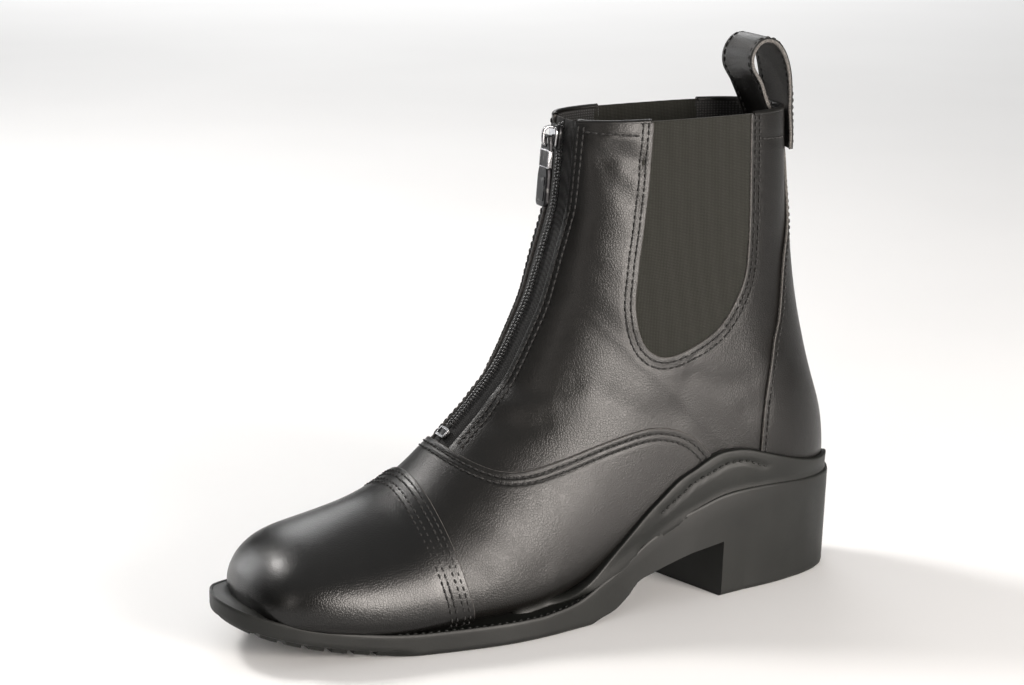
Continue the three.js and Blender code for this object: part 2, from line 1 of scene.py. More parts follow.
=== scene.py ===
"""Left jodhpur boot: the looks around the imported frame. Lengths are millimetres until a mesh is made."""
import math

import bpy
import numpy as np
from mathutils import Matrix, Vector
from mathutils.geometry import delaunay_2d_cdt


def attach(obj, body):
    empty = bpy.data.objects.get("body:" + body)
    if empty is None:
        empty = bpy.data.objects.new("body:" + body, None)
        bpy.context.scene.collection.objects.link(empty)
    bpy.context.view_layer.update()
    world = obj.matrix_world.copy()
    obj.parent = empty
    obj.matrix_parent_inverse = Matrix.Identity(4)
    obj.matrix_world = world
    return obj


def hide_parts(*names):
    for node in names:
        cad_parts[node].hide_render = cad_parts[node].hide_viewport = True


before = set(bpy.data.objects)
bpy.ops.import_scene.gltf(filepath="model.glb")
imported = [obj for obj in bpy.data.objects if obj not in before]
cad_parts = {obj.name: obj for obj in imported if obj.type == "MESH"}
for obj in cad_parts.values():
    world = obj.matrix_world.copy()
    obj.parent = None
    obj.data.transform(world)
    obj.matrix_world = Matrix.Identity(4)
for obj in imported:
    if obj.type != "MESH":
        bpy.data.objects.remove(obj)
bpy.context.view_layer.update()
MM = 0.001

# Driving sizes, as in the frame
SOLE_LENGTH = 288.0
SOLE_WIDTH = 97.0
BALL_WIDTH = 88.0
COLLAR_HEIGHT = 203.0
COLLAR_WIDTH = 48.0
BED_HEIGHT = 7.0
HEEL_LIFT = 25.0
TOE_SPRING = 16.0
WELT_HEIGHT = 9.5
SLOT_WIDTH = 19.0
VAMP_HEIGHT = 1.2
CAP_HEIGHT = 2.7
BACKSTAY_HEIGHT = 1.5
WING_HEIGHT = 3.6
STITCH_PITCH = 2.9

# Spacing of mesh points along a panel's edge and inside it
EDGE_PITCH = 1.3
PANEL_SPACING = 1.9

rng = np.random.default_rng(11)


def smooth(x):
    x = np.clip(x, 0.0, 1.0)
    return x * x * (3.0 - 2.0 * x)


def unit(vectors):
    """Vectors brought to length one."""
    return vectors / np.maximum(np.linalg.norm(vectors, axis=-1, keepdims=True), 1e-9)


def running_length(points):
    """Length along a line, at each of its points."""
    return np.concatenate([[0.0], np.cumsum(np.linalg.norm(np.diff(points, axis=0), axis=1))])


def spring_at(y):
    start = -0.235 * SOLE_LENGTH
    reach = np.clip((start - np.asarray(y, float)) / (start + SOLE_LENGTH / 2), 0.0, 1.0)
    return TOE_SPRING * reach ** 1.7


def bed_at(y):
    start, end = -0.094 * SOLE_LENGTH, 0.34 * SOLE_LENGTH
    rise = smooth((np.asarray(y, float) - start) / (end - start))
    return BED_HEIGHT + spring_at(y) + HEEL_LIFT * rise


# Sections from the toe tip to the collar, as shares of the sole's length, leg's height and half widths
COLUMNS = ("top_y", "top_rise", "top_x", "back_y", "back_rise", "back_x",
           "outer", "inner", "widest", "domed", "squared")
LAST = np.array([
    [-0.456, 0.022, 0.18, -0.453, 0.006, 0.18, 0.14, 0.14, 0.50, 2.0, 2.0],
    [-0.453, 0.040, 0.18, -0.449, 0.000, 0.18, 0.28, 0.28, 0.58, 2.0, 2.2],
    [-0.447, 0.069, 0.16, -0.443, 0.000, 0.16, 0.43, 0.43, 0.64, 2.1, 2.5],
    [-0.437, 0.101, 0.14, -0.432, 0.000, 0.14, 0.56, 0.56, 0.68, 2.2, 2.8],
    [-0.418, 0.139, 0.12, -0.412, 0.000, 0.12, 0.68, 0.69, 0.70, 2.2, 3.0],
    [-0.387, 0.174, 0.09, -0.380, 0.000, 0.08, 0.79, 0.81, 0.72, 2.2, 3.0],
    [-0.344, 0.205, 0.06, -0.336, 0.000, 0.05, 0.87, 0.89, 0.74, 2.1, 3.0],
    [-0.292, 0.239, 0.04, -0.283, 0.000, 0.03, 0.92, 0.93, 0.76, 2.0, 3.0],
    [-0.237, 0.277, 0.03, -0.223, 0.000, 0.01, 0.96, 0.94, 0.77, 1.95, 3.0],
    [-0.188, 0.332, 0.01, -0.146, 0.000, 0.00, 0.99, 0.91, 0.78, 1.85, 3.0],
    [-0.144, 0.400, -0.01, -0.063, 0.000, 0.00, 0.98, 0.84, 0.78, 1.9, 3.0],
    [-0.099, 0.446, -0.03, 0.028, 0.000, 0.00, 0.91, 0.77, 0.76, 2.0, 3.0],
    [-0.057, 0.482, -0.04, 0.118, 0.000, 0.00, 0.85, 0.73, 0.72, 2.2, 3.0],
    [-0.027, 0.526, -0.05, 0.209, 0.000, 0.00, 0.81, 0.72, 0.68, 2.4, 3.0],
    [-0.004, 0.572, -0.05, 0.300, 0.000, -0.01, 0.78, 0.73, 0.64, 2.6, 3.0],
    [0.008, 0.622, -0.06, 0.383, 0.000, -0.01, 0.77, 0.74, 0.62, 2.8, 2.9],
    [0.017, 0.668, -0.06, 0.444, 0.012, -0.01, 0.81, 0.79, 0.60, 3.0, 2.5],
    [0.025, 0.708, -0.07, 0.474, 0.058, -0.01, 0.85, 0.83, 0.60, 3.1, 2.25],
    [0.032, 0.746, -0.07, 0.482, 0.127, -0.02, 0.88, 0.86, 0.60, 3.2, 2.1],
    [0.038, 0.781, -0.08, 0.477, 0.220, -0.03, 0.91, 0.89, 0.59, 3.2, 2.05],
    [0.042, 0.815, -0.08, 0.458, 0.324, -0.04, 0.93, 0.92, 0.58, 3.2, 2.05],
    [0.046, 0.879, -0.09, 0.427, 0.543, -0.07, 0.94, 0.97, 0.56, 3.2, 2.2],
    [0.049, 0.941, -0.10, 0.413, 0.775, -0.10, 0.97, 1.03, 0.55, 3.2, 2.4],
    [0.052, 1.000, -0.11, 0.408, 1.000, -0.13, 1.00, 1.10, 0.54, 3.2, 2.6],
])
LAST_ROW = len(LAST) - 1
LEG_FROM = 15.0
LEG_HEIGHT = COLLAR_HEIGHT - BED_HEIGHT - HEEL_LIFT


def spline_value(points, u):
    """Uniform cubic B-spline through controls, straight past its ends."""
    padded = np.concatenate([[2 * points[0] - points[1]], points, [2 * points[-1] - points[-2]]])
    i = np.clip(np.floor(u).astype(int), 0, len(points) - 2)
    t = u - i
    weights = ((1 - t) ** 3, 3 * t ** 3 - 6 * t ** 2 + 4, -3 * t ** 3 + 3 * t ** 2 + 3 * t + 1, t ** 3)
    return sum(w * padded[i + k] for k, w in enumerate(weights)) / 6.0


def fair_controls(points):
    """Controls whose spline runs close to the points, without their small noise."""
    at = np.arange(len(points), dtype=float)
    controls = points.astype(float).copy()
    for _ in range(2):
        controls += 0.85 * (points - spline_value(controls, at))
    return controls


CONTROLS = {name: fair_controls(LAST[:, k]) for k, name in enumerate(COLUMNS)}

U_FINE = 12
W_FINE = 160
U_LINE = np.arange(LAST_ROW * U_FINE + 1) / U_FINE
W_LINE = np.linspace(0.0, 1.0, W_FINE + 1)


def side_grid(side):
    """Points of one side of the last: a row per section, from the top to the back along its length."""
    angle = np.linspace(0.0, math.pi, 385)
    rows = []
    shares = []
    for u in U_LINE:
        at = np.array([u])
        value = {name: float(spline_value(c, at)[0]) for name, c in CONTROLS.items()}
        back_y = value["back_y"] * SOLE_LENGTH
        bed = float(bed_at(back_y))
        top = (value["top_y"] * SOLE_LENGTH, bed + value["top_rise"] * LEG_HEIGHT)
        back = (back_y, bed + value["back_rise"] * LEG_HEIGHT)
        narrow = min(1.0, max(0.0, (u - LEG_FROM) / (LAST_ROW - LEG_FROM)))
        half = (BALL_WIDTH + (COLLAR_WIDTH - BALL_WIDTH) * narrow) / 2
        reach = value["outer" if side > 0 else "inner"] * half
        upper = angle <= math.pi / 2
        power = 2.0 / np.where(upper, value["domed"], value["squared"])
        out = np.abs(np.sin(angle)) ** power
        along = np.abs(np.cos(angle)) ** power
        widest = value["widest"]
        share = np.where(upper, widest * (1 - along), widest + (1 - widest) * along)
        line = np.stack([
            (value["top_x"] * (1 - share) + value["back_x"] * share) * half + side * reach * out,
            top[0] * (1 - share) + back[0] * share,
            top[1] * (1 - share) + back[1] * share,
        ], axis=1)
        length = running_length(line)
        goal = W_LINE * length[-1]
        rows.append(np.stack([np.interp(goal, length, line[:, k]) for k in range(3)], axis=1))
        shares.append(np.interp(goal, length, share))
    return np.array(rows), np.array(shares)


GRID = {}
SHARES = {}
NORMALS = {}
LENGTHS = {}
for side in (1, -1):
    GRID[side], SHARES[side] = side_grid(side)
    LENGTHS[side] = np.linalg.norm(np.diff(GRID[side], axis=1), axis=2).sum(axis=1)
    NORMALS[side] = unit(np.cross(np.gradient(GRID[side], axis=0), np.gradient(GRID[side], axis=1)) * side)
for row in (0, -1):
    together = unit(NORMALS[1][:, row] + NORMALS[-1][:, row])
    NORMALS[1][:, row] = together
    NORMALS[-1][:, row] = together
if NORMALS[1][LAST_ROW * U_FINE // 2, W_FINE // 2, 0] < 0:
    NORMALS[1] *= -1
    NORMALS[-1] *= -1

MIDDLE = (GRID[1][:, 64] + GRID[1][:, 100]) / 2
MIDDLE_LENGTH = running_length(MIDDLE)


def lookup(table, u, w):
    """Bilinear value of a two-sided table at (u, signed w). w is positive on the outer side."""
    u = np.clip(np.asarray(u, float), 0.0, LAST_ROW)
    w = np.asarray(w, float)
    fu = u * U_FINE
    fw = np.clip(np.abs(w), 0.0, 1.0) * W_FINE
    i = np.minimum(fu.astype(int), LAST_ROW * U_FINE - 1)
    j = np.minimum(fw.astype(int), W_FINE - 1)
    a = (fu - i)[..., None]
    b = (fw - j)[..., None]
    both = []
    for side in (1, -1):
        t = table[side]
        both.append(t[i, j] * (1 - a) * (1 - b) + t[i + 1, j] * a * (1 - b)
                    + t[i, j + 1] * (1 - a) * b + t[i + 1, j + 1] * a * b)
    return np.where((w >= 0)[..., None], both[0], both[1])


def place(uw):
    """Points and outward normals of the last at rows of (u, signed w)."""
    u, w = uw[:, 0], uw[:, 1]
    return lookup(GRID, u, w), unit(lookup(NORMALS, u, w))


def at_row(u, w_from, w_to, count):
    """A line across the last at one u."""
    return np.stack([np.full(count, float(u)), np.linspace(w_from, w_to, count)], axis=1)


def length_at(u, w):
    outer = np.interp(u, U_LINE, LENGTHS[1])
    inner = np.interp(u, U_LINE, LENGTHS[-1])
    return np.where(np.asarray(w) >= 0, outer, inner)


def to_uw(points, side):
    """(u, signed w) of side-view points (y, z) on one side of the last."""
    top = GRID[side][:, 0, 1:]
    back = GRID[side][:, -1, 1:]
    found = []
    for y, z in points:
        cross = (back[:, 0] - top[:, 0]) * (z - top[:, 1]) - (back[:, 1] - top[:, 1]) * (y - top[:, 0])
        turn = np.nonzero(np.sign(cross[:-1]) != np.sign(cross[1:]))[0]
        if len(turn) == 0:
            i, t = (len(U_LINE) - 2, 1.0) if abs(cross[-1]) < abs(cross[0]) else (0, 0.0)
        else:
            inside = [k for k in turn if -0.05 < np.dot([y - top[k, 0], z - top[k, 1]], back[k] - top[k])
                      / np.dot(back[k] - top[k], back[k] - top[k]) < 1.05]
            i = inside[-1] if inside else turn[-1]
            t = cross[i] / (cross[i] - cross[i + 1])
        a = top[i] * (1 - t) + top[i + 1] * t
        b = back[i] * (1 - t) + back[i + 1] * t
        share = np.dot([y - a[0], z - a[1]], b - a) / np.dot(b - a, b - a)
        row = SHARES[side][i] * (1 - t) + SHARES[side][i + 1] * t
        found.append(((i + t) / U_FINE, side * np.interp(share, row, W_LINE)))
    return np.array(found)


def catmull(points, steps):
    """Smooth open line through points."""
    points = np.array(points, float)
    padded = np.vstack([2 * points[0] - points[1], points, 2 * points[-1] - points[-2]])
    out = []
    for k in range(len(points) - 1):
        a, b, c, d = padded[k:k + 4]
        for s in range(steps):
            t = s / steps
            out.append(b + 0.5 * t * (c - a + t * (2 * a - 5 * b + 4 * c - d + t * (3 * (b - c) + d - a))))
    out.append(points[-1])
    return np.array(out)


def side_curve(shares, steps=8):
    """Side-view line through shares of the sole's length and the collar's height."""
    return catmull(np.array(shares) * [SOLE_LENGTH, COLLAR_HEIGHT], steps)


def resample(points, pitch):
    """Points at an even pitch along a line of any dimension, measured on its first three columns."""
    points = np.asarray(points, float)
    length = running_length(points[:, :3])
    goal = np.linspace(0.0, length[-1], max(2, int(round(length[-1] / pitch)) + 1))
    return np.stack([np.interp(goal, length, points[:, k]) for k in range(points.shape[1])], axis=1)


def even(uw, pitch):
    """A line on the last with points at an even pitch in space."""
    return resample(np.hstack([place(uw)[0], uw]), pitch)[:, 3:]


def left_of(uw):
    """Left-hand directions along a line on the last."""
    point, normal = place(uw)
    return unit(np.cross(normal, unit(np.gradient(point, axis=0))))


def shifted(uw, distance):
    """A line on the last moved to its left by a distance along the surface."""
    uw = uw.copy()
    steps = max(1, int(math.ceil(abs(distance) / 1.5)))
    step_u, step_w = 0.03, 0.004
    for _ in range(steps):
        want = left_of(uw) * distance / steps
        du = (place(uw + [step_u, 0.0])[0] - place(uw - [step_u, 0.0])[0]) / (2 * step_u)
        dw = (place(uw + [0.0, step_w])[0] - place(uw - [0.0, step_w])[0]) / (2 * step_w)
        uu, ww, cross = (du * du).sum(1), (dw * dw).sum(1), (du * dw).sum(1)
        wu, wv = (want * du).sum(1), (want * dw).sum(1)
        det = np.maximum(uu * ww - cross * cross, 1e-9)
        uw[:, 0] += (wu * ww - wv * cross) / det
        uw[:, 1] += (wv * uu - wu * cross) / det
    return uw


# Seam and edge lines seen from the side, as shares of length and collar height
VAMP_SEAM = [[-0.215, 0.455], [-0.188, 0.421], [-0.150, 0.362], [-0.105, 0.329], [-0.060, 0.325],
             [-0.003, 0.342], [0.056, 0.364], [0.115, 0.380], [0.153, 0.380], [0.190, 0.364],
             [0.217, 0.337], [0.240, 0.295], [0.250, 0.240]]
CAP_SEAM = [[-0.198, 0.33], [-0.193, 0.25], [-0.181, 0.16], [-0.165, 0.07], [-0.157, 0.0]]
GORE = [[0.157, 1.03], [0.141, 0.840], [0.122, 0.700], [0.116, 0.625], [0.127, 0.556], [0.158, 0.524],
        [0.205, 0.537], [0.260, 0.578], [0.302, 0.658], [0.314, 0.740], [0.318, 0.870], [0.320, 1.03]]
WING_TOP = [[-0.080, 0.02], [-0.056, 0.036], [0.000, 0.057], [0.052, 0.107], [0.098, 0.168],
            [0.122, 0.205], [0.143, 0.234], [0.176, 0.268], [0.206, 0.287], [0.233, 0.305], [0.258, 0.314],
            [0.289, 0.312], [0.317, 0.302], [0.359, 0.283], [0.394, 0.268], [0.440, 0.254], [0.530, 0.246]]
BACKSTAY = [[0.408, 1.03], [0.408, 0.90], [0.404, 0.78], [0.384, 0.688], [0.368, 0.58],
            [0.350, 0.517], [0.331, 0.410], [0.325, 0.350], [0.322, 0.25]]
LEDGE = [[-0.056, 0.047], [0.000, 0.058], [0.040, 0.082], [0.080, 0.110], [0.122, 0.150],
         [0.170, 0.185], [0.215, 0.208], [0.262, 0.226], [0.330, 0.230], [0.420, 0.222], [0.510, 0.215]]
LEDGE_CURVE = side_curve(LEDGE)
WING_CURVE = side_curve(WING_TOP)


def ledge_at(y):
    y = np.asarray(y, float)
    low = spring_at(y) + WELT_HEIGHT
    high = np.interp(y, LEDGE_CURVE[:, 0], LEDGE_CURVE[:, 1])
    return np.where(y <= LEDGE_CURVE[0, 0], low, high)


def below_collar(curve):
    """The part of a side-view line under the collar, ended on it at both ends."""
    ends = []
    for half in (curve[:len(curve) // 2], curve[len(curve) // 2:]):
        rising = half[np.argsort(half[:, 1])]
        ends.append([np.interp(COLLAR_HEIGHT, rising[:, 1], rising[:, 0]), COLLAR_HEIGHT])
    return np.vstack([ends[0], curve[curve[:, 1] < COLLAR_HEIGHT - 0.05], ends[1]])


def inside_loop(points, loop):
    """Which points lie in a closed loop, by the even-odd rule."""
    x, y = points[:, 0], points[:, 1]
    hit = np.zeros(len(points), bool)
    ax, ay = loop[:, 0], loop[:, 1]
    bx, by = np.roll(ax, -1), np.roll(ay, -1)
    for k in range(len(loop)):
        if ay[k] == by[k]:
            continue
        crosses = (ay[k] > y) != (by[k] > y)
        hit ^= crosses & (x < (bx[k] - ax[k]) * (y - ay[k]) / (by[k] - ay[k]) + ax[k])
    return hit


def nearest(points, line):
    """Distance from each point to the nearest of a line's points."""
    best = np.full(len(points), 1e9)
    for start in range(0, len(line), 64):
        part = line[start:start + 64]
        gap = np.linalg.norm(points[:, None, :] - part[None, :, :], axis=2)
        best = np.minimum(best, gap.min(axis=1))
    return best


def flat_domain(uw, around_back=False):
    """Flat coordinates, about true to size, for (u, signed w): around the top line, or around the back."""
    x = np.interp(uw[:, 0], U_LINE, MIDDLE_LENGTH)
    length = length_at(uw[:, 0], uw[:, 1])
    if around_back:
        return np.stack([x, np.sign(uw[:, 1]) * (1 - np.abs(uw[:, 1])) * length], axis=1)
    return np.stack([x, uw[:, 1] * length], axis=1)


def from_flat(xy, around_back=False):
    u = np.interp(xy[:, 0], MIDDLE_LENGTH, U_LINE)
    if around_back:
        side = np.where(xy[:, 1] >= 0, 1.0, -1.0)
        return np.stack([u, side * (1 - np.abs(xy[:, 1]) / length_at(u, side))], axis=1)
    return np.stack([u, xy[:, 1] / length_at(u, xy[:, 1])], axis=1)


def triangles_inside(edge, inner, spacing, merge):
    """Fills a closed flat line, given loose points: the inner points kept, all points, triangles, areas."""
    inner = inner[inside_loop(inner, edge)]
    inner = inner[nearest(inner, edge) > 0.6 * spacing]
    edges = [(k, (k + 1) % len(edge)) for k in range(len(edge))]
    made = delaunay_2d_cdt([Vector(p) for p in np.vstack([edge, inner])], edges, [], 0, merge)
    flat = np.array([tuple(p) for p in made[0]])
    faces = np.array(made[2])
    faces = faces[inside_loop(flat[faces].mean(axis=1), edge)]
    a, b, c = (flat[faces[:, k]] for k in range(3))
    area = (b[:, 0] - a[:, 0]) * (c[:, 1] - a[:, 1]) - (b[:, 1] - a[:, 1]) * (c[:, 0] - a[:, 0])
    return inner, flat, faces, area


def fill_loop(loop_uw, spacing, around_back=False):
    """Triangles that fill a closed line on the last, with even points inside it."""
    edge = flat_domain(loop_uw, around_back)
    low, high = edge.min(0), edge.max(0)
    columns = np.arange(low[0] + spacing / 2, high[0], spacing * 0.87)
    inner = []
    for k, x in enumerate(columns):
        ys = np.arange(low[1] + spacing * (0.25 + 0.5 * (k % 2)), high[1], spacing)
        inner.append(np.stack([np.full(len(ys), x), ys], axis=1))
    _, flat, faces, area = triangles_inside(edge, np.vstack(inner), spacing, 1e-6)
    faces = faces[np.abs(area) > 1e-5]
    used = np.unique(faces)
    remap = -np.ones(len(flat), int)
    remap[used] = np.arange(len(used))
    return from_flat(flat[used], around_back), [tuple(f) for f in remap[faces]]


def facing_out(points, normals, faces):
    """The faces, all turned the way of the normals."""
    first = faces[len(faces) // 2]
    a, b, c = (points[first[k]] for k in range(3))
    if np.dot(np.cross(b - a, c - a), normals[first[0]]) < 0:
        return [tuple(reversed(f)) for f in faces]
    return faces


def boundary_loops(faces):
    after = {}
    seen = set()
    for face in faces:
        for k in range(len(face)):
            seen.add((face[k], face[(k + 1) % len(face)]))
    for a, b in seen:
        if (b, a) not in seen:
            after[a] = b
    loops = []
    while after:
        start, following = next(iter(after.items()))
        loop = [start]
        while following != start and following in after:
            loop.append(following)
            del after[loop[-2]]
            following = after[following]
        after.pop(loop[-1], None)
        loops.append(loop)
    return loops


def thick_panel(points, normals, faces, height, thickness, roll):
    """Closed panel with a top face, rolled edge and under side, as points, faces and material indices."""
    faces = facing_out(points, normals, faces)
    height = np.broadcast_to(np.asarray(height, float), (len(points),))
    thickness = np.broadcast_to(np.asarray(thickness, float), (len(points),))
    top = points + normals * height[:, None]
    low = points + normals * (height - thickness)[:, None]
    count = len(points)
    verts = [top, low]
    out_faces = [tuple(f) for f in faces] + [tuple(v + count for v in reversed(f)) for f in faces]
    slots = [0] * len(faces) + [2] * len(faces)
    start = 2 * count
    for loop in boundary_loops(faces):
        ring = np.array(loop)
        n = len(ring)
        if n < 4:
            continue
        tangent = np.roll(points[ring], -1, axis=0) - np.roll(points[ring], 1, axis=0)
        out = unit(np.cross(tangent, normals[ring]))
        previous = ring
        steps = [(math.sin(a) * roll, height[ring] - roll * (1 - math.cos(a))) for a in (0.5, 1.0, 1.5)]
        steps.append((roll, (height - thickness)[ring]))
        for k, (reach, level) in enumerate(steps):
            verts.append(points[ring] + out * reach + normals[ring] * np.asarray(level)[:, None])
            current = start + np.arange(n)
            start += n
            for j in range(n):
                m = (j + 1) % n
                out_faces.append((previous[m], previous[j], current[j], current[m]))
                slots.append(0 if k == 0 else 1)
            previous = current
        under = ring + count
        for j in range(n):
            m = (j + 1) % n
            out_faces.append((previous[m], previous[j], under[j], under[m]))
            slots.append(1)
    return np.vstack(verts), out_faces, slots


def make_object(name, points, faces, materials, slots=None, body="boot"):
    mesh = bpy.data.meshes.new(name)
    mesh.from_pydata([tuple(p) for p in np.asarray(points) * MM], [],
                     [tuple(int(i) for i in f) for f in faces])
    mesh.validate()
    for material in materials:
        mesh.materials.append(material)
    if slots is not None and len(slots) == len(mesh.polygons):
        mesh.polygons.foreach_set("material_index", np.array(slots, dtype=np.int32))
    mesh.polygons.foreach_set("use_smooth", np.ones(len(mesh.polygons), dtype=bool))
    mesh.update()
    obj = bpy.data.objects.new(name, mesh)
    bpy.context.scene.collection.objects.link(obj)
    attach(obj, body)
    return obj


def panel_mesh(name, surface, faces, level, thickness, roll, materials):
    """Panel on a surface of (points, normals), its top face at a level over it."""
    points, out_faces, slots = thick_panel(*surface, faces, level, thickness, roll)
    return make_object(name, points, out_faces, materials, slots)


def grid_faces(rows, columns, closed=False):
    faces = []
    for i in range(rows - 1):
        for j in range(columns if closed else columns - 1):
            a = i * columns + j
            b = i * columns + (j + 1) % columns
            faces.append((a, b, b + columns, a + columns))
    return faces


# Materials


def new_material(name, color, roughness, **inputs):
    material = bpy.data.materials.new(name)
    material.use_nodes = True
    shader = material.node_tree.nodes["Principled BSDF"]
    shader.inputs["Base Color"].default_value = (*color, 1.0)
    shader.inputs["Roughness"].default_value = roughness
    for key, value in inputs.items():
        shader.inputs[key.replace("_", " ")].default_value = value
    return material, material.node_tree, shader


def node(tree, kind, **settings):
    made = tree.nodes.new(kind)
    for key, value in settings.items():
        if key in made.inputs:
            made.inputs[key].default_value = value
        else:
            setattr(made, key, value)
    return made


def coordinates(tree):
    return node(tree, "ShaderNodeTexCoord").outputs["Object"]


def ramp(tree, source, low, high, at=(0.3, 0.7)):
    made = node(tree, "ShaderNodeValToRGB")
    for element, position, color in zip(made.color_ramp.elements, at, (low, high)):
        element.position = position
        element.color = (*color, 1.0)
    tree.links.new(source, made.inputs["Fac"])
    return made.outputs["Color"]


def bump(tree, shader, *layers):
    """Stacks of bump: (height socket, strength, distance in mm)."""
    last_normal = None
    for height, strength, distance in layers:
        made = node(tree, "ShaderNodeBump", Strength=strength, Distance=distance * MM)
        tree.links.new(height, made.inputs["Height"])
        if last_normal is not None:
            tree.links.new(last_normal, made.inputs["Normal"])
        last_normal = made.outputs["Normal"]
    tree.links.new(last_normal, shader.inputs["Normal"])


def noise(tree, vector, scale, detail=3.0, roughness=0.55):
    made = node(tree, "ShaderNodeTexNoise", Scale=scale, Detail=detail, Roughness=roughness)
    tree.links.new(vector, made.inputs["Vector"])
    return made.outputs["Fac"]


def uneven_gloss(tree, shader, source, low, high):
    """Roughness that wanders between two values."""
    gloss = node(tree, "ShaderNodeMapRange")
    gloss.inputs["To Min"].default_value = low
    gloss.inputs["To Max"].default_value = high
    tree.links.new(source, gloss.inputs["Value"])
    tree.links.new(gloss.outputs["Result"], shader.inputs["Roughness"])


def leather(name, color, light, roughness, grain, coat):
    """Finished black leather: pebbled grain, fine pores, slight cloudiness in colour and gloss."""
    material, tree, shader = new_material(name, color, roughness, Coat_Weight=coat, Coat_Roughness=0.24,
                                          Specular_IOR_Level=0.3)
    vector = coordinates(tree)
    pebbles = node(tree, "ShaderNodeTexVoronoi", Scale=950.0)
    pebbles.feature = "DISTANCE_TO_EDGE"
    tree.links.new(vector, pebbles.inputs["Vector"])
    cells = ramp(tree, pebbles.outputs["Distance"], (0, 0, 0), (1, 1, 1), (0.0, 0.22))
    fine = noise(tree, vector, 1500.0, 4.0, 0.65)
    broad = noise(tree, vector, 26.0, 3.0, 0.5)
    tint = ramp(tree, broad, color, light, (0.35, 0.75))
    tree.links.new(tint, shader.inputs["Base Color"])
    uneven_gloss(tree, shader, noise(tree, vector, 60.0, 4.0), roughness - 0.05, roughness + 0.07)
    bump(tree, shader, (noise(tree, vector, 120.0, 2.0), 0.25, 0.25 * grain), (cells, 0.45 * grain, 0.09),
         (fine, 0.5 * grain, 0.08))
    return material


def raw_edge(name, color, light):
    material, tree, shader = new_material(name, color, 0.8)
    vector = coordinates(tree)
    fibres = noise(tree, vector, 1500.0, 4.0, 0.7)
    tree.links.new(ramp(tree, fibres, color, light, (0.35, 0.75)), shader.inputs["Base Color"])
    bump(tree, shader, (fibres, 0.6, 0.2))
    return material


def cloth(name, color, light, pitch, rib_axis, roughness=0.9):
    """Woven cloth or elastic: cords across the rib axis, crossed by fine threads."""
    material, tree, shader = new_material(name, color, roughness, Sheen_Weight=0.06, Sheen_Roughness=0.5,
                                          Specular_IOR_Level=0.25)
    vector = coordinates(tree)
    ribs = node(tree, "ShaderNodeTexWave", Scale=math.pi / (10.0 * pitch * MM), Distortion=0.6)
    ribs.bands_direction = rib_axis
    ribs.inputs["Detail Scale"].default_value = 30.0
    tree.links.new(vector, ribs.inputs["Vector"])
    threads = node(tree, "ShaderNodeTexWave", Scale=math.pi / (11.0 * pitch * MM), Distortion=0.8)
    threads.bands_direction = "Y" if rib_axis == "Z" else "Z"
    tree.links.new(vector, threads.inputs["Vector"])
    weave = node(tree, "ShaderNodeMath", operation="MULTIPLY")
    tree.links.new(ribs.outputs["Fac"], weave.inputs[0])
    tree.links.new(threads.outputs["Fac"], weave.inputs[1])
    fuzz = noise(tree, vector, 1800.0, 4.0, 0.7)
    mixed = node(tree, "ShaderNodeMath", operation="MULTIPLY_ADD")
    tree.links.new(fuzz, mixed.inputs[0])
    mixed.inputs[1].default_value = 0.6
    tree.links.new(weave.outputs[0], mixed.inputs[2])
    tree.links.new(ramp(tree, mixed.outputs[0], color, light, (0.2, 1.0)), shader.inputs["Base Color"])
    bump(tree, shader, (weave.outputs[0], 0.7, 0.25), (fuzz, 0.4, 0.12))
    return material


def rubber(name, color, light, roughness):
    material, tree, shader = new_material(name, color, roughness, Specular_IOR_Level=0.35)
    vector = coordinates(tree)
    clouds = noise(tree, vector, 38.0, 5.0, 0.65)
    tree.links.new(ramp(tree, clouds, color, light, (0.35, 0.8)), shader.inputs["Base Color"])
    uneven_gloss(tree, shader, noise(tree, vector, 90.0, 4.0, 0.7), roughness - 0.08, roughness + 0.1)
    bump(tree, shader, (noise(tree, vector, 45.0, 3.0, 0.6), 0.2, 0.5),
         (noise(tree, vector, 900.0, 4.0, 0.65), 0.3, 0.12))
    return material


def metal(name, color, worn, roughness):
    """Dark lacquered metal, brighter where the lacquer has rubbed off."""
    material, tree, shader = new_material(name, color, roughness, Metallic=0.9)
    vector = coordinates(tree)
    rub = noise(tree, vector, 350.0, 4.0, 0.6)
    tree.links.new(ramp(tree, rub, color, worn, (0.55, 0.75)), shader.inputs["Base Color"])
    bump(tree, shader, (noise(tree, vector, 700.0, 3.0), 0.2, 0.08))
    return material


upper_leather = leather("upper_leather", (0.0035, 0.0032, 0.0028), (0.0058, 0.0054, 0.0048),
                        0.36, 1.0, 0.04)
cap_leather = leather("cap_leather", (0.0022, 0.0022, 0.002), (0.004, 0.0038, 0.0035), 0.30, 0.8, 0.12)
loop_leather = leather("loop_leather", (0.009, 0.0085, 0.008), (0.016, 0.0152, 0.014), 0.42, 1.1, 0.05)
cut_edge = raw_edge("cut_edge", (0.03, 0.028, 0.026), (0.16, 0.15, 0.14))
flesh_side = raw_edge("flesh_side", (0.02, 0.019, 0.018), (0.05, 0.047, 0.044))
thread = raw_edge("thread", (0.006, 0.006, 0.006), (0.026, 0.025, 0.024))
elastic = cloth("elastic", (0.006, 0.006, 0.0045), (0.026, 0.026, 0.021), 0.62, "Z")
tape_cloth = cloth("tape_cloth", (0.009, 0.009, 0.009), (0.03, 0.03, 0.03), 0.6, "Z")
lining_cloth = cloth("lining_cloth", (0.012, 0.012, 0.012), (0.05, 0.05, 0.05), 1.1, "Z")
sole_rubber = rubber("sole_rubber", (0.0040, 0.0044, 0.0037), (0.0083, 0.0090, 0.0077), 0.5)
# Needle-hole material: a near-black colour that is painted shade for the inside of the holes, not a colour
# of the leather.
painted_hole_shade = raw_edge("painted_hole_shade", (0.002, 0.002, 0.002), (0.006, 0.006, 0.006))
insole_cloth = cloth("insole_cloth", (0.012, 0.012, 0.012), (0.04, 0.04, 0.04), 0.9, "Y")


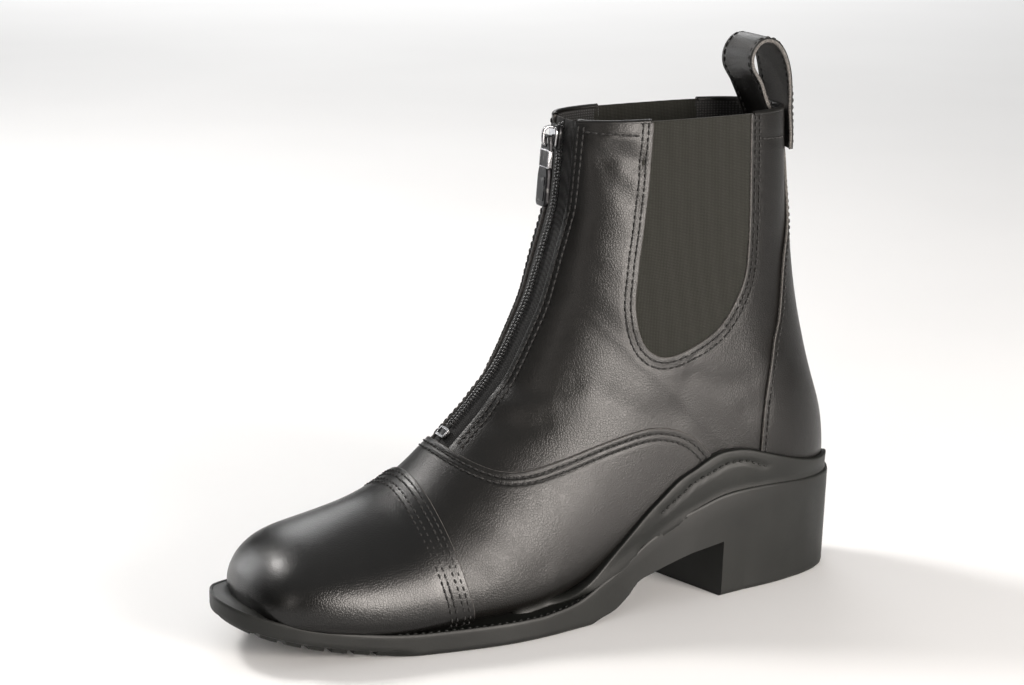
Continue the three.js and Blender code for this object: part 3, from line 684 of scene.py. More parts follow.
def moulded_plastic(name, color, light, roughness):
    material, tree, shader = new_material(name, color, roughness)
    vector = coordinates(tree)
    tint = ramp(tree, noise(tree, vector, 500.0), color, light, (0.4, 0.7))
    tree.links.new(tint, shader.inputs["Base Color"])
    bump(tree, shader, (noise(tree, vector, 900.0), 0.15, 0.05))
    return material


coil_plastic = moulded_plastic("coil_plastic", (0.012, 0.012, 0.012), (0.03, 0.03, 0.03), 0.24)
zip_metal = metal("zip_metal", (0.012, 0.012, 0.013), (0.10, 0.10, 0.10), 0.38)
chrome = metal("chrome", (0.25, 0.25, 0.26), (0.6, 0.6, 0.6), 0.2)

# Shared lines on the last, as (u, signed w)


def both_sides(shares):
    """A side-view seam from the inner side, over the throat line, to the outer side."""
    curve = side_curve(shares)
    halves = {}
    for side in (1, -1):
        uw = to_uw(curve, side)
        keep = np.abs(uw[:, 1]) > 1e-3
        halves[side] = uw[keep]
    over = (halves[1][0, 0] + halves[-1][0, 0]) / 2
    return np.vstack([halves[-1][::-1], [[over, 0.0]], halves[1]])


def seam_u(seam):
    """The seam's u as a function of signed w."""
    order = np.argsort(seam[:, 1])
    return lambda w: np.interp(w, seam[order, 1], seam[order, 0])


vamp_seam = both_sides(VAMP_SEAM)
cap_seam = both_sides(CAP_SEAM)
vamp_u = seam_u(vamp_seam)
cap_u = seam_u(cap_seam)
ZIP_FOOT = 9.95


def slot_w(u, side, extra=0.0):
    return side * (SLOT_WIDTH / 2 + extra) / length_at(u, side)


def back_line(side, u_from, u_to, count):
    return np.stack([np.linspace(u_from, u_to, count), np.full(count, float(side))], axis=1)


gore_lines = {}
backstay_lines = {}
for side in (1, -1):
    gore_lines[side] = even(to_uw(below_collar(side_curve(GORE)), side), 1.2)
    gore_lines[side][0, 0] = LAST_ROW
    gore_lines[side][-1, 0] = LAST_ROW
    stay = side_curve(BACKSTAY)
    stay = stay[stay[:, 1] < COLLAR_HEIGHT - 1.5]
    backstay_lines[side] = even(to_uw(stay, side), 1.2)

wing_lines = {}
for side in (1, -1):
    curve = WING_CURVE[(WING_CURVE[:, 1] > bed_at(WING_CURVE[:, 0]) + 0.6)]
    back = GRID[side][:, -1, 1:]
    over = [p for p in curve if p[0] < np.interp(p[1], back[200:, 1], back[200:, 0]) - 0.4]
    wing_lines[side] = even(to_uw(np.array(over), side), 1.5)

# Stitch rows: lines on the surface and how high they lie
stitch_rows = []


def stitch_line(uw, distance, height, trim=(0.0, 0.0)):
    """A row of stitches at a distance to the left of a line."""
    line = even(shifted(even(uw, 1.2), distance), 0.6)
    along = running_length(place(line)[0])
    keep = (along >= trim[0]) & (along <= along[-1] - trim[1])
    line = line[keep & (line[:, 0] < LAST_ROW - 0.02) & (line[:, 0] > 0.2)]
    if len(line) > 4:
        stitch_rows.append((line, height, STITCH_PITCH))


vamp_row = vamp_seam[(np.abs(vamp_seam[:, 1]) < 0.86)]
for distance in (2.0, 4.6):
    stitch_line(vamp_row, -distance, VAMP_HEIGHT)
cap_row = cap_seam[(np.abs(cap_seam[:, 1]) < 0.93)]
for distance in (1.7, 4.0, 7.2, 9.5):
    stitch_line(cap_row, -distance, CAP_HEIGHT)
for side in (1, -1):
    for distance in (1.8, 4.3):
        stitch_line(gore_lines[side], -side * distance, 0.0, trim=(1.0, 1.0))
    stitch_line(backstay_lines[side], side * 1.7, BACKSTAY_HEIGHT, trim=(2.0, 2.0))
    u_slot = np.linspace(ZIP_FOOT + 0.25, LAST_ROW - 0.25, 60)
    for distance in (2.0, 4.6):
        w_slot = slot_w(u_slot, side, distance)
        stitch_rows.append((even(np.stack([u_slot, w_slot], axis=1), 0.6), 0.0, STITCH_PITCH))
    front = gore_lines[side][0, 1]
    rear = gore_lines[side][-1, 1]
    near_collar = LAST_ROW - 0.32
    start_w = slot_w(near_collar, side, 6.5)
    spans = ((start_w, front - side * 0.055), (rear + side * 0.05, side * 0.86))
    for a, b in spans:
        stitch_rows.append((even(at_row(near_collar, a, b, 40), 0.6), 0.0, STITCH_PITCH))

STITCH_POINTS = [(place(line)[0], height) for line, height, _ in stitch_rows]

# Creases and dents, in mm: side, points in side view, depth (a trough is positive), half width
FOLDS = [
    (1, [(24, 188), (30, 190), (37, 187)], 1.1, 5.0),
    (1, [(22, 196), (28, 199), (35, 199)], -0.5, 3.5),
    (1, [(26, 180), (31, 176), (36, 168)], 0.5, 5.0),
    (1, [(-26, 84), (-18, 82), (-8, 84)], 0.5, 4.0),
    (1, [(-22, 92), (-14, 90), (-4, 92)], -0.45, 4.0),
    (1, [(-15, 98), (-6, 96), (6, 98)], 0.45, 4.5),
    (1, [(20, 92), (34, 84), (50, 82)], 0.5, 7.0),
    (1, [(60, 98), (74, 92), (88, 92)], 0.5, 6.0),
    (1, [(86, 80), (96, 84), (104, 92)], 0.4, 6.0),
    (1, [(-66, 44), (-54, 36), (-44, 30)], 0.45, 6.0),
    (1, [(-40, 50), (-26, 40), (-16, 30)], 0.4, 7.0),
    (-1, [(24, 186), (31, 188), (38, 184)], 0.8, 5.0),
    (-1, [(-24, 84), (-14, 82), (-4, 85)], 0.5, 4.0),
    (-1, [(-16, 96), (-6, 94), (6, 97)], 0.45, 4.5),
    (-1, [(20, 90), (36, 83), (54, 84)], 0.5, 7.0),
    (-1, [(-64, 42), (-52, 34), (-42, 28)], 0.45, 6.0),
    (-1, [(70, 96), (84, 90), (98, 94)], 0.5, 6.0),
]
FOLD_LINES = []
for side, points, depth, width in FOLDS:
    uw = even(to_uw(catmull(points, 8), side), 2.0)
    FOLD_LINES.append((place(uw)[0], depth, width))


def folds(points):
    """How far the creases lift the leather at each point."""
    lift = np.zeros(len(points))
    for line, depth, width in FOLD_LINES:
        close = np.nonzero(np.linalg.norm(points - line.mean(axis=0), axis=1) < 4 * width + 20)[0]
        if len(close) == 0:
            continue
        away = nearest(points[close], line)
        lift[close] -= depth * np.exp(-(away / width) ** 2)
    return lift


def stitched(points, height):
    """The dip that rows of stitches at about this height pull into the leather."""
    dip = np.zeros(len(points))
    for line, level in STITCH_POINTS:
        if abs(level - height) > 0.01:
            continue
        low, high = line.min(0) - 3, line.max(0) + 3
        close = np.nonzero(((points > low) & (points < high)).all(axis=1))[0]
        if len(close) == 0:
            continue
        away = nearest(points[close], line)
        dip[close] = np.minimum(dip[close], -0.28 * np.exp(-(away / 0.75) ** 2))
    return dip


def panel_object(name, uw, faces, height, thickness):
    """Leather panel with its creases and the dips along its stitches."""
    surface = place(uw)
    level = height + folds(surface[0]) + stitched(surface[0], height)
    return panel_mesh(name, surface, faces, level, thickness, 0.45, LEATHER_SLOTS)


def column_grid(low, high, w, t):
    """Rows of (u, signed w) from one u to another, in columns of even signed w."""
    return np.stack([low * (1 - t) + high * t, np.broadcast_to(w, (len(t), len(w)))], axis=2).reshape(-1, 2)


# Vamp and toe cap

LEATHER_SLOTS = [upper_leather, cut_edge, flesh_side]
VAMP_W = np.linspace(-0.97, 0.97, 260)
VAMP_GRID = column_grid(cap_u(VAMP_W) - 0.9, vamp_u(VAMP_W), VAMP_W, np.linspace(0.0, 1.0, 96)[:, None])
vamp = panel_object("vamp", VAMP_GRID, grid_faces(96, 260), VAMP_HEIGHT, 1.15)


def cap_panel():
    """Toe cap with its tip closed, as one body."""
    columns, rows = 240, 110
    w = np.linspace(-0.93, 0.93, columns)
    t = np.linspace(0.0, 1.0, rows)[:, None] ** 1.5
    point, normal = place(column_grid(0.0, cap_u(w), w, t))
    middle = point[:columns].mean(axis=0) + [0.0, -0.5, 0.0]
    point = np.vstack([point, middle])
    normal = np.vstack([normal, unit(normal[:columns].mean(axis=0))])
    tip = len(point) - 1
    faces = grid_faces(rows, columns)
    faces += [(j + 1, j, tip) for j in range(columns - 1)] + [(0, columns - 1, tip)]
    level = CAP_HEIGHT + stitched(point, CAP_HEIGHT)
    return panel_mesh("toe_cap_leather", (point, normal), faces, level, 1.25, 0.5,
                      [cap_leather, cut_edge, flesh_side])


cap = cap_panel()
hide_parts("toe_cap")

# Quarters: each side from the zip to the middle of the back, cut out for its gore


def quarter_loop(side):
    u_slot = np.linspace(ZIP_FOOT - 0.6, LAST_ROW, 110)
    slot = np.stack([u_slot, slot_w(u_slot, side)], axis=1)
    gore = gore_lines[side]
    collar_front = at_row(LAST_ROW, slot[-1, 1], gore[0, 1], 14)
    collar_back = at_row(LAST_ROW, gore[-1, 1], side * 1.0, 16)
    down = back_line(side, LAST_ROW, 17.1, 80)
    wing = wing_lines[side]
    low = shifted(wing[wing[:, 0] > 14.0], -side * 7.0)[::-1]
    seam = vamp_seam[vamp_seam[:, 1] * side > 0.02]
    seam = seam[np.argsort(np.abs(seam[:, 1]))][::-1]
    seam = seam[np.abs(seam[:, 1]) < 0.74]
    under = np.stack([seam[:, 0] - 0.75, seam[:, 1]], axis=1)
    under = under[np.abs(under[:, 1]) > abs(slot[0, 1]) + 0.02]
    return np.vstack([slot, collar_front[1:-1], gore, collar_back[1:-1], down, low[1:-1], under])


def spaced_loop(loop, pitch):
    point, _ = place(loop)
    closed = np.vstack([np.hstack([point, loop]), np.hstack([point[:1], loop[:1]])])
    return resample(closed, pitch)[:-1, 3:]


for side, label in ((1, "outer"), (-1, "inner")):
    uw, faces = fill_loop(spaced_loop(quarter_loop(side), EDGE_PITCH), PANEL_SPACING)
    quarter = panel_object("quarter_" + label, uw, faces, 0.0, 1.4)
    if side > 0:
        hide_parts("upper")

# Backstay: counter round the heel, narrowing to a strip up to the collar


def backstay_loop():
    outer = backstay_lines[1]
    inner = backstay_lines[-1]
    foot = []
    for side in (1, -1):
        wing = wing_lines[side]
        low = shifted(wing[wing[:, 0] > 14.0], -side * 5.0)
        edge = backstay_lines[side]
        foot.append(low[np.abs(low[:, 1]) > np.abs(edge[-1, 1]) + 0.01])
    top = np.array([[outer[0, 0], w] for w in np.linspace(outer[0, 1], 1.0, 8)[1:-1]])
    top_inner = np.array([[inner[0, 0], w] for w in np.linspace(inner[0, 1], -1.0, 8)[1:-1]])
    return np.vstack([outer, foot[0], foot[1][::-1], inner[::-1], top_inner, top[::-1]])


def spaced_back_loop(loop, pitch):
    flat = flat_domain(loop, around_back=True)
    closed = np.vstack([flat, flat[:1]])
    spaced = resample(np.hstack([closed, np.zeros((len(closed), 1))]), pitch)
    return from_flat(spaced[:-1, :2], around_back=True)


uw, faces = fill_loop(spaced_back_loop(backstay_loop(), EDGE_PITCH), PANEL_SPACING, around_back=True)
stay = panel_object("backstay_leather", uw, faces, BACKSTAY_HEIGHT, 1.25)
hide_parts("backstay")

# Elastic gores, a little larger than their cut-outs, ribbed, and slightly hollow

for side, label in ((1, "outer"), (-1, "inner")):
    line = shifted(gore_lines[side], -side * 3.0)
    line = line[line[:, 0] < LAST_ROW - 0.15]
    top_front = [[LAST_ROW, gore_lines[side][0, 1] - side * 0.035]]
    top_back = [[LAST_ROW, gore_lines[side][-1, 1] + side * 0.035]]
    across = at_row(LAST_ROW, top_back[0][1], top_front[0][1], 30)[1:-1]
    loop = np.vstack([top_front, line, top_back, across])
    uw, faces = fill_loop(spaced_loop(loop, EDGE_PITCH), 1.6)
    point, normal = place(uw)
    centre = point.mean(axis=0)
    away = np.linalg.norm((point - centre)[:, 1:], axis=1)
    ripple = 0.12 * np.sin(point[:, 1] * 0.9 + 0.05 * point[:, 2])
    level = -0.75 - 0.7 * np.exp(-(away / 34.0) ** 2) + ripple
    gore = panel_mesh("gore_elastic_" + label, (point, normal), faces, level, 1.3, 0.4, [elastic] * 3)
    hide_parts("gore_" + label)

# Lining inside the leather, from under the zip to the back, with the gores left bare

for side, label in ((1, "outer"), (-1, "inner")):
    loop = quarter_loop(side)
    loop[:, 0] = np.minimum(loop[:, 0], LAST_ROW)
    uw, faces = fill_loop(spaced_loop(loop, 2.0), 3.2)
    panel_mesh("lining_" + label, place(uw), faces, -1.5, 0.7, 0.2, [lining_cloth] * 3)

# Stitches: small bars of thread, their ends sunk in the leather


def bar_faces(sides, rings):
    faces = grid_faces(rings, sides, closed=True)
    return faces + [tuple(reversed(range(sides))), tuple(range((rings - 1) * sides, rings * sides))]


BAR_STEPS = np.linspace(-1.0, 1.0, 5)
HEXAGON = np.arange(6) * math.pi / 3
BAR_FACES = bar_faces(len(HEXAGON), len(BAR_STEPS))
BAR_POINTS = len(HEXAGON) * len(BAR_STEPS)


def bar_points(centres, radii, across, up):
    """Points of a six-sided bar round a row of centres."""
    ring = np.cos(HEXAGON)[:, None] * across + np.sin(HEXAGON)[:, None] * up
    return (centres[:, None, :] + radii[:, None, None] * ring).reshape(-1, 3)


def bar_mesh(name, made, material):
    faces = [tuple(BAR_POINTS * k + v for v in face) for k in range(len(made)) for face in BAR_FACES]
    return make_object(name, np.vstack(made), faces, [material])


def bars(name, lines, radius, material, fill=0.74):
    """One mesh of short bars along lines of (points, normals, pitch)."""
    thick = np.sqrt(np.maximum(0.0, 1 - BAR_STEPS ** 4)) * radius
    thick[0] = thick[-1] = radius * 0.35
    rise = 0.22 * (1 - BAR_STEPS ** 2)
    made = []
    for spots, up, pitch in lines:
        forward = unit(np.gradient(spots, axis=0))
        for k in range(len(spots)):
            n = unit(up[k])
            t = forward[k] + n * rng.normal(0, 0.03)
            centres = spots[k] + t * (BAR_STEPS * pitch * fill / 2)[:, None] + n * rise[:, None]
            made.append(bar_points(centres, thick, np.cross(n, t), n))
    return bar_mesh(name, made, material)


def on_panels(rows, lift):
    """Stitch places on the leather for rows of (line, height, pitch)."""
    lines = []
    for line, height, pitch in rows:
        centres, normal = place(line)
        data = resample(np.hstack([centres, normal]), pitch)
        spots, up = data[:, :3], data[:, 3:]
        raised_by = folds(spots) + height + lift
        lines.append((spots + up * raised_by[:, None], up, pitch))
    return lines


bars("stitches", on_panels(stitch_rows, -0.12), 0.42, thread)


def needle_holes(name, rows):
    """Small pits between the stitches, coloured darker than the leather as painted shade for the inside of
    the needle holes.
    """
    angle = np.arange(7) * 2 * math.pi / 7
    points, faces = [], []
    start = 0
    for line, height, pitch in rows:
        centres, normal = place(line)
        data = resample(np.hstack([centres, normal]), pitch)
        half = (data[1:] + data[:-1]) / 2
        forward = unit(data[1:, :3] - data[:-1, :3])
        lifts = folds(half[:, :3]) + height
        for k in range(len(half)):
            n = unit(half[k, 3:])
            b = np.cross(n, forward[k])
            base = half[k, :3] + n * (lifts[k] - 0.10)
            ring = np.cos(angle)[:, None] * forward[k] + np.sin(angle)[:, None] * b
            points += [base + ring * 0.58 - n * 0.2, base + ring * 0.42 + n * 0.02, [base - n * 0.08]]
            faces += [(start + j, start + (j + 1) % 7, start + 7 + (j + 1) % 7, start + 7 + j)
                      for j in range(7)]
            faces += [(start + 7 + j, start + 7 + (j + 1) % 7, start + 14) for j in range(7)]
            start += 15
    return make_object(name, np.vstack(points), faces, [painted_hole_shade])


needle_holes("needle_holes", stitch_rows)

# Collar edge: the leather folded over to the lining, front and back


def collar_bead(name, w_from, w_to, low, high, reach):
    point, normal = place(at_row(LAST_ROW, w_from, w_to, 40))
    normal = unit(normal * [1.0, 1.0, 0.0])
    angle = np.linspace(0.0, 2 * math.pi, 13)[:-1]
    middle = (low + high) / 2
    half = (high - low) / 2
    ring = (point + normal * middle)[:, None, :] + half * np.cos(angle)[:, None] * normal[:, None, :]
    ring = ring + np.sin(angle)[:, None] * np.array([0.0, 0.0, reach])
    faces = grid_faces(40, 12, closed=True)
    faces += [tuple(range(12)), tuple(reversed(range(39 * 12, 40 * 12)))]
    return make_object(name, ring.reshape(-1, 3), faces, [upper_leather])


for side, label in ((1, "outer"), (-1, "inner")):
    front_w = gore_lines[side][0, 1]
    back_w = gore_lines[side][-1, 1]
    slot_edge = slot_w(LAST_ROW, side, 0.3)
    collar_bead("collar_front_" + label, slot_edge, front_w - side * 0.004, -2.3, 0.15, 1.25)
    collar_bead("collar_back_" + label, back_w + side * 0.004, side * 1.0, -2.3, 0.15, 1.25)

# Zip: woven tapes, coil teeth, stop, slider and pull


def throat_frame(u):
    """Point, across, up and outward directions on the throat line."""
    point, ahead, back = place(np.array([[u, 0.0], [u + 0.05, 0.0], [u - 0.05, 0.0]]))[0]
    up = unit((ahead - back) * [0.0, 1.0, 1.0])
    return point, np.array([1.0, 0.0, 0.0]), up, np.array([0.0, -up[2], up[1]])


def zip_tapes():
    for side, label in ((1, "outer"), (-1, "inner")):
        u = np.linspace(ZIP_FOOT - 0.35, LAST_ROW, 120)
        strips = np.linspace(0.4, SLOT_WIDTH / 2 + 2.0, 10)
        w = side * strips[None, :] / length_at(u, side)[:, None]
        uw = np.stack([np.broadcast_to(u[:, None], w.shape), w], axis=2).reshape(-1, 2)
        level = -1.0 - 0.35 * smooth((np.tile(strips, 120) - 5.0) / 4.0)
        tape = panel_mesh("zip_tape_" + label, place(uw), grid_faces(120, 10), level, 0.8, 0.15,
                          [tape_cloth] * 3)
        if side > 0:
            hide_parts("zip_tape")


def coil_teeth():
    """The coil's loops, side by side in two columns that mesh in the middle."""
    u = np.linspace(10.35, LAST_ROW - 0.15, 400)
    line = even(np.stack([u, np.zeros(400)], axis=1), 0.4)
    data = resample(np.hstack([place(line)[0], line]), 0.72)
    thick = np.array([0.24, 0.44, 0.46, 0.5, 0.3])
    made = []
    for k, row in enumerate(data):
        reach = (1 if k % 2 else -1) * (1.15 + 1.15 * BAR_STEPS)
        _, across, up, out = throat_frame(row[3])
        rise = 0.42 - 0.3 * BAR_STEPS ** 2
        centre = row[:3] + out * 0.05 + across * reach[:, None] + out * rise[:, None]
        made.append(bar_points(centre, thick, up * 1.25, out))
    chain = bar_mesh("zip_coil", made, coil_plastic)
    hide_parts("zip_chain")


def extruded(name, outline, thickness, frame_at, materials, bevel, body="boot", holes=()):
    """Plate with rounded edges from an outline in millimetres, set in a frame of four vectors."""
    curve = bpy.data.curves.new(name, "CURVE")
    curve.dimensions = "2D"
    curve.fill_mode = "BOTH"
    curve.extrude = (thickness / 2 - bevel) * MM
    curve.bevel_depth = bevel * MM
    curve.bevel_resolution = 2
    curve.offset = -bevel * MM
    for ring in (outline, *holes):
        spline = curve.splines.new("POLY")
        spline.points.add(len(ring) - 1)
        for k, (x, y) in enumerate(ring):
            spline.points[k].co = (x * MM, y * MM, 0, 1)
        spline.use_cyclic_u = True
    made = bpy.data.objects.new(name, curve)
    bpy.context.scene.collection.objects.link(made)
    bpy.context.view_layer.update()
    mesh = bpy.data.meshes.new_from_object(made.evaluated_get(bpy.context.evaluated_depsgraph_get()))
    bpy.data.objects.remove(made)
    origin, across, up, out = frame_at
    turn = Matrix((Vector(across), Vector(up), Vector(out))).transposed().to_4x4()
    mesh.transform(Matrix.Translation(Vector(origin) * MM) @ turn)
    mesh.materials.clear()
    for material in materials:
        mesh.materials.append(material)
    mesh.polygons.foreach_set("use_smooth", np.ones(len(mesh.polygons), dtype=bool))
    mesh.set_sharp_from_angle(angle=math.radians(50))
    obj = bpy.data.objects.new(name, mesh)
    bpy.context.scene.collection.objects.link(obj)
    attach(obj, body)
    return obj


def rounded(points, radius, steps=5):
    """Outline with each corner replaced by a short curve."""
    points = np.array(points, float)
    out = []
    for k in range(len(points)):
        a, b, c = points[k - 1], points[k], points[(k + 1) % len(points)]
        cut = min(radius, np.linalg.norm(a - b) * 0.45, np.linalg.norm(c - b) * 0.45)
        p = b + (a - b) / np.linalg.norm(a - b) * cut
        q = b + (c - b) / np.linalg.norm(c - b) * cut
        for s in np.linspace(0, 1, steps):
            out.append((1 - s) ** 2 * p + 2 * s * (1 - s) * b + s ** 2 * q)
    return out


zip_tapes()
coil_teeth()

# Metal parts of the zip

CHAIN_TOP = 1.3
SLIDER_AT = LAST_ROW - 0.7
PIVOT_HEIGHT = 4.5


def raised(frame_at, height, along=0.0):
    origin, across, up, out = frame_at
    return origin + out * height + up * along, across, up, out


def zip_hardware():
    stop_at = throat_frame(10.0)
    box = rounded([(-3.7, 0.0), (3.7, 0.0), (3.7, 4.5), (-3.7, 4.5)], 0.8)
    inset = rounded([(-2.8, 0.9), (2.8, 0.9), (2.8, 3.6), (-2.8, 3.6)], 0.5)
    stop = extruded("zip_stop_plate", box, 1.1, raised(stop_at, 0.05), [zip_metal], 0.25)
    extruded("zip_stop_rim", box, 0.5, raised(stop_at, 0.85), [chrome], 0.18, holes=(inset,))
    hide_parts("zip_stop")
    slide_at = raised(throat_frame(SLIDER_AT), CHAIN_TOP + 0.3)
    outline = rounded([(4.2, 2.6), (3.4, -5.4), (-3.4, -5.4), (-4.2, 2.6), (-3.0, 5.4), (0.0, 4.1),
                       (3.0, 5.4)], 1.3)
    small = [(x * 0.78, y * 0.8 - 0.2) for x, y in outline]
    slider = extruded("zip_slider_body", outline, 1.5, raised(slide_at, 0.75), [zip_metal], 0.4)
    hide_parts("zip_slider")
    extruded("zip_slider_crown", small, 1.3, raised(slide_at, 1.95), [chrome], 0.45)
    bail_route = [(-3.6, 2.2), (-3.9, 4.2), (-3.2, 5.9), (-1.6, 6.6), (1.6, 6.6), (3.2, 5.9),
                  (3.9, 4.2), (3.6, 2.2)]
    ribbon("zip_slider_bail", bail_route, slide_at, 0.8, 0.62, chrome)
    pull_at = raised(slide_at, PIVOT_HEIGHT)
    eye = [(-1.3, -0.6), (-1.3, -4.5), (1.3, -4.5), (1.3, -0.6)]
    frame_outline = rounded([(-2.8, 0.62), (-4.0, -5.0), (-4.0, -13.5), (4.0, -13.5), (4.0, -5.0),
                             (2.8, 0.62)], 1.0)
    plate = extruded("zip_pull_frame", frame_outline, 1.5, pull_at, [zip_metal], 0.35, "pull",
                     holes=(rounded(eye, 0.5),))
    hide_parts("zip_pull")
    rim = rounded([(-4.0, -5.3), (4.0, -5.3), (4.0, -13.3), (-4.0, -13.3)], 0.8)
    rim_hole = rounded([(-3.1, -6.2), (3.1, -6.2), (3.1, -12.4), (-3.1, -12.4)], 0.5)
    extruded("zip_pull_rim", rim, 2.0, pull_at, [chrome], 0.3, "pull", holes=(rim_hole,))
    grip = rounded([(-3.5, -12.4), (3.5, -12.4), (4.3, -16.0), (4.3, -27.4), (3.4, -29.0), (-3.4, -29.0),
                    (-4.3, -27.4), (-4.3, -16.0)], 1.2)
    extruded("zip_pull_grip", grip, 2.3, pull_at, [zip_metal], 0.7, "pull")
    panel = rounded([(-2.9, -16.5), (2.9, -16.5), (2.9, -26.8), (-2.9, -26.8)], 1.0)
    extruded("zip_pull_panel", panel, 2.9, pull_at, [zip_metal], 0.3, "pull")


def ribbon(name, route, frame_at, half_width, half_thick, material):
    """Bent bar in the plane of up and out, with a rounded section."""
    origin, across, up, out = frame_at
    path = catmull(route, 5)
    ahead = unit(np.gradient(path, axis=0))
    side_way = np.stack([-ahead[:, 1], ahead[:, 0]], axis=1)
    angle = np.arange(12) * math.pi / 6
    wide = np.sign(np.cos(angle)) * np.abs(np.cos(angle)) ** 0.6 * half_width
    thick = np.sign(np.sin(angle)) * np.abs(np.sin(angle)) ** 0.6 * half_thick
    centre = origin + path[:, :1] * up + path[:, 1:] * out
    away = side_way[:, :1] * up + side_way[:, 1:] * out
    points = centre[:, None, :] + wide[None, :, None] * across + thick[None, :, None] * away[:, None, :]
    return make_object(name, points.reshape(-1, 3), bar_faces(12, len(path)), [material])


zip_hardware()

# Pull loop: a strap turned over at the back of the collar, with a row of stitches near each edge

LOOP_WIDTH = 24.0
LOOP_THICKNESS = 2.2
LOOP_RISE = 28.6
LOOP_REACH = 21.6
LOOP_SEWN = 18.0
BACK_AT = 0.408 * SOLE_LENGTH
OUTER_Y = BACK_AT + 0.3 + 1.2 + 0.6 + LOOP_THICKNESS / 2
INNER_Y = BACK_AT - 2.0 - 1.9 - LOOP_THICKNESS / 2
LOOP_UP = [(0.0, -0.105), (0.028, 0.175), (0.148, 0.524), (0.306, 0.804), (0.509, 0.979), (0.787, 1.0),
           (1.0, 0.839), (0.991, 0.612), (0.764, 0.367)]
LOOP_DOWN = [(0.222, 0.147), (0.056, -0.087), (0.0, -0.315)]
LOOP_X = -3.1


def loop_route():
    route = [(OUTER_Y, -LOOP_SEWN)] + [(OUTER_Y - y * LOOP_REACH, z * LOOP_RISE) for y, z in LOOP_UP]
    route += [(INNER_Y - y * LOOP_REACH, z * LOOP_RISE) for y, z in LOOP_DOWN] + [(INNER_Y, -LOOP_SEWN)]
    route = np.array([(0.0, y - 0.0374 * min(0.0, z), z) for y, z in route])
    return resample(catmull(route, 16), 0.9)[:, 1:]


def loop_bow(x, z):
    depth = 0.46 * 0.356 * SOLE_LENGTH
    inside = np.clip(1 - np.abs(x / (COLLAR_WIDTH / 2)) ** 2.6, 0, 1)
    return depth * (1 - inside ** (1 / 2.6)) * np.clip(1 - z / LOOP_WIDTH, 0, 1)


LOOP_PATH = loop_route()
LOOP_TANGENT = unit(np.gradient(LOOP_PATH, axis=0))


def on_loop(x, index, out):
    """Points on the strap: across, along and out of its middle surface."""
    y = LOOP_PATH[index, 0] + out * LOOP_TANGENT[index, 1] - loop_bow(x, LOOP_PATH[index, 1])
    z = LOOP_PATH[index, 1] - out * LOOP_TANGENT[index, 0]
    return np.stack([x + LOOP_X, y, z + COLLAR_HEIGHT], axis=-1)


def pull_strap():
    half, thick = LOOP_WIDTH / 2, LOOP_THICKNESS / 2
    count = len(LOOP_PATH)
    flat = np.linspace(-half + 0.55, half - 0.55, 25)
    near = np.abs(np.abs(flat) - (half - 2.0))
    dip = 0.22 * np.exp(-(near / 0.8) ** 2)
    crown = 0.25 * (flat / half) ** 2
    section = [(x, thick - d - c * 0.4) for x, d, c in zip(flat, dip, crown)]
    section += [(half - 0.15, thick * 0.62), (half, 0.3), (half, -0.3), (half - 0.15, -thick * 0.62)]
    section += [(x, -thick + d) for x, d in zip(flat[::-1], dip[::-1])]
    section += [(-half + 0.15, -thick * 0.62), (-half, -0.3), (-half, 0.3), (-half + 0.15, thick * 0.62)]
    section = np.array(section)
    index = np.arange(count)
    wave = 0.25 * np.sin(index * 0.21)[:, None] * (section[None, :, 0] / half)
    points = on_loop(np.broadcast_to(section[:, 0], (count, len(section))), index[:, None],
                     section[None, :, 1] + wave)
    around = len(section)
    faces = grid_faces(count, around, closed=True)
    slots = [0 if j < 26 or j >= around - 2 else (1 if j < 29 or j >= 54 else 2)
             for _ in range(count - 1) for j in range(around)]
    faces += [tuple(range(around)), tuple(reversed(range((count - 1) * around, count * around)))]
    slots += [1, 1]
    return make_object("pull_strap", points.reshape(-1, 3), faces, [loop_leather, cut_edge, flesh_side],
                       slots)


strap = pull_strap()
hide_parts("pull_loop")


def strap_stitches():
    thick = np.array([0.15, 0.36, 0.4, 0.36, 0.15])
    edge = LOOP_WIDTH / 2 - 2.0
    along = running_length(LOOP_PATH)
    made = []
    for x, side in ((-edge, 1), (-edge, -1), (edge, 1), (edge, -1)):
        out = side * (LOOP_THICKNESS / 2 - 0.05 + 0.2 * (1 - BAR_STEPS ** 2) - 0.25)
        across = np.full(len(BAR_STEPS), x)
        for middle in np.arange(3.0, along[-1] - 2.0, STITCH_PITCH):
            index = np.interp(middle + BAR_STEPS * 1.1, along, np.arange(len(along)))
            low = np.floor(index).astype(int)
            high = np.minimum(low + 1, len(along) - 1)
            part = (index - low)[:, None]
            centre = on_loop(across, low, out) * (1 - part) + on_loop(across, high, out) * part
            right = np.array([1.0, 0.0, 0.0])
            up = unit(np.cross(unit(centre[-1] - centre[0]), right))
            made.append(bar_points(centre, thick, right, up))
    bar_mesh("strap_stitches", made, thread)


strap_stitches()

# Sole: block with welt, arch, heel and lugs

SOLE_TABLE = np.array([
    [-0.485, 0.50, -0.16], [-0.460, 0.64, -0.37], [-0.420, 0.74, -0.60], [-0.370, 0.80, -0.79],
    [-0.300, 0.87, -0.92], [-0.240, 0.92, -0.98], [-0.180, 0.97, -1.00], [-0.110, 1.00, -0.92],
    [-0.050, 0.97, -0.81], [0.020, 0.89, -0.71], [0.090, 0.81, -0.67], [0.160, 0.77, -0.67],
    [0.230, 0.76, -0.69], [0.300, 0.74, -0.70], [0.370, 0.68, -0.66], [0.430, 0.56, -0.55],
    [0.475, 0.36, -0.36],
])
ARCH_ROOF = [[-0.055, -0.03], [-0.002, 0.007], [0.033, 0.022], [0.057, 0.044], [0.080, 0.074],
             [0.126, 0.100], [0.227, 0.122]]
BREAST_SKEW = 0.24
SHANK = 3.5


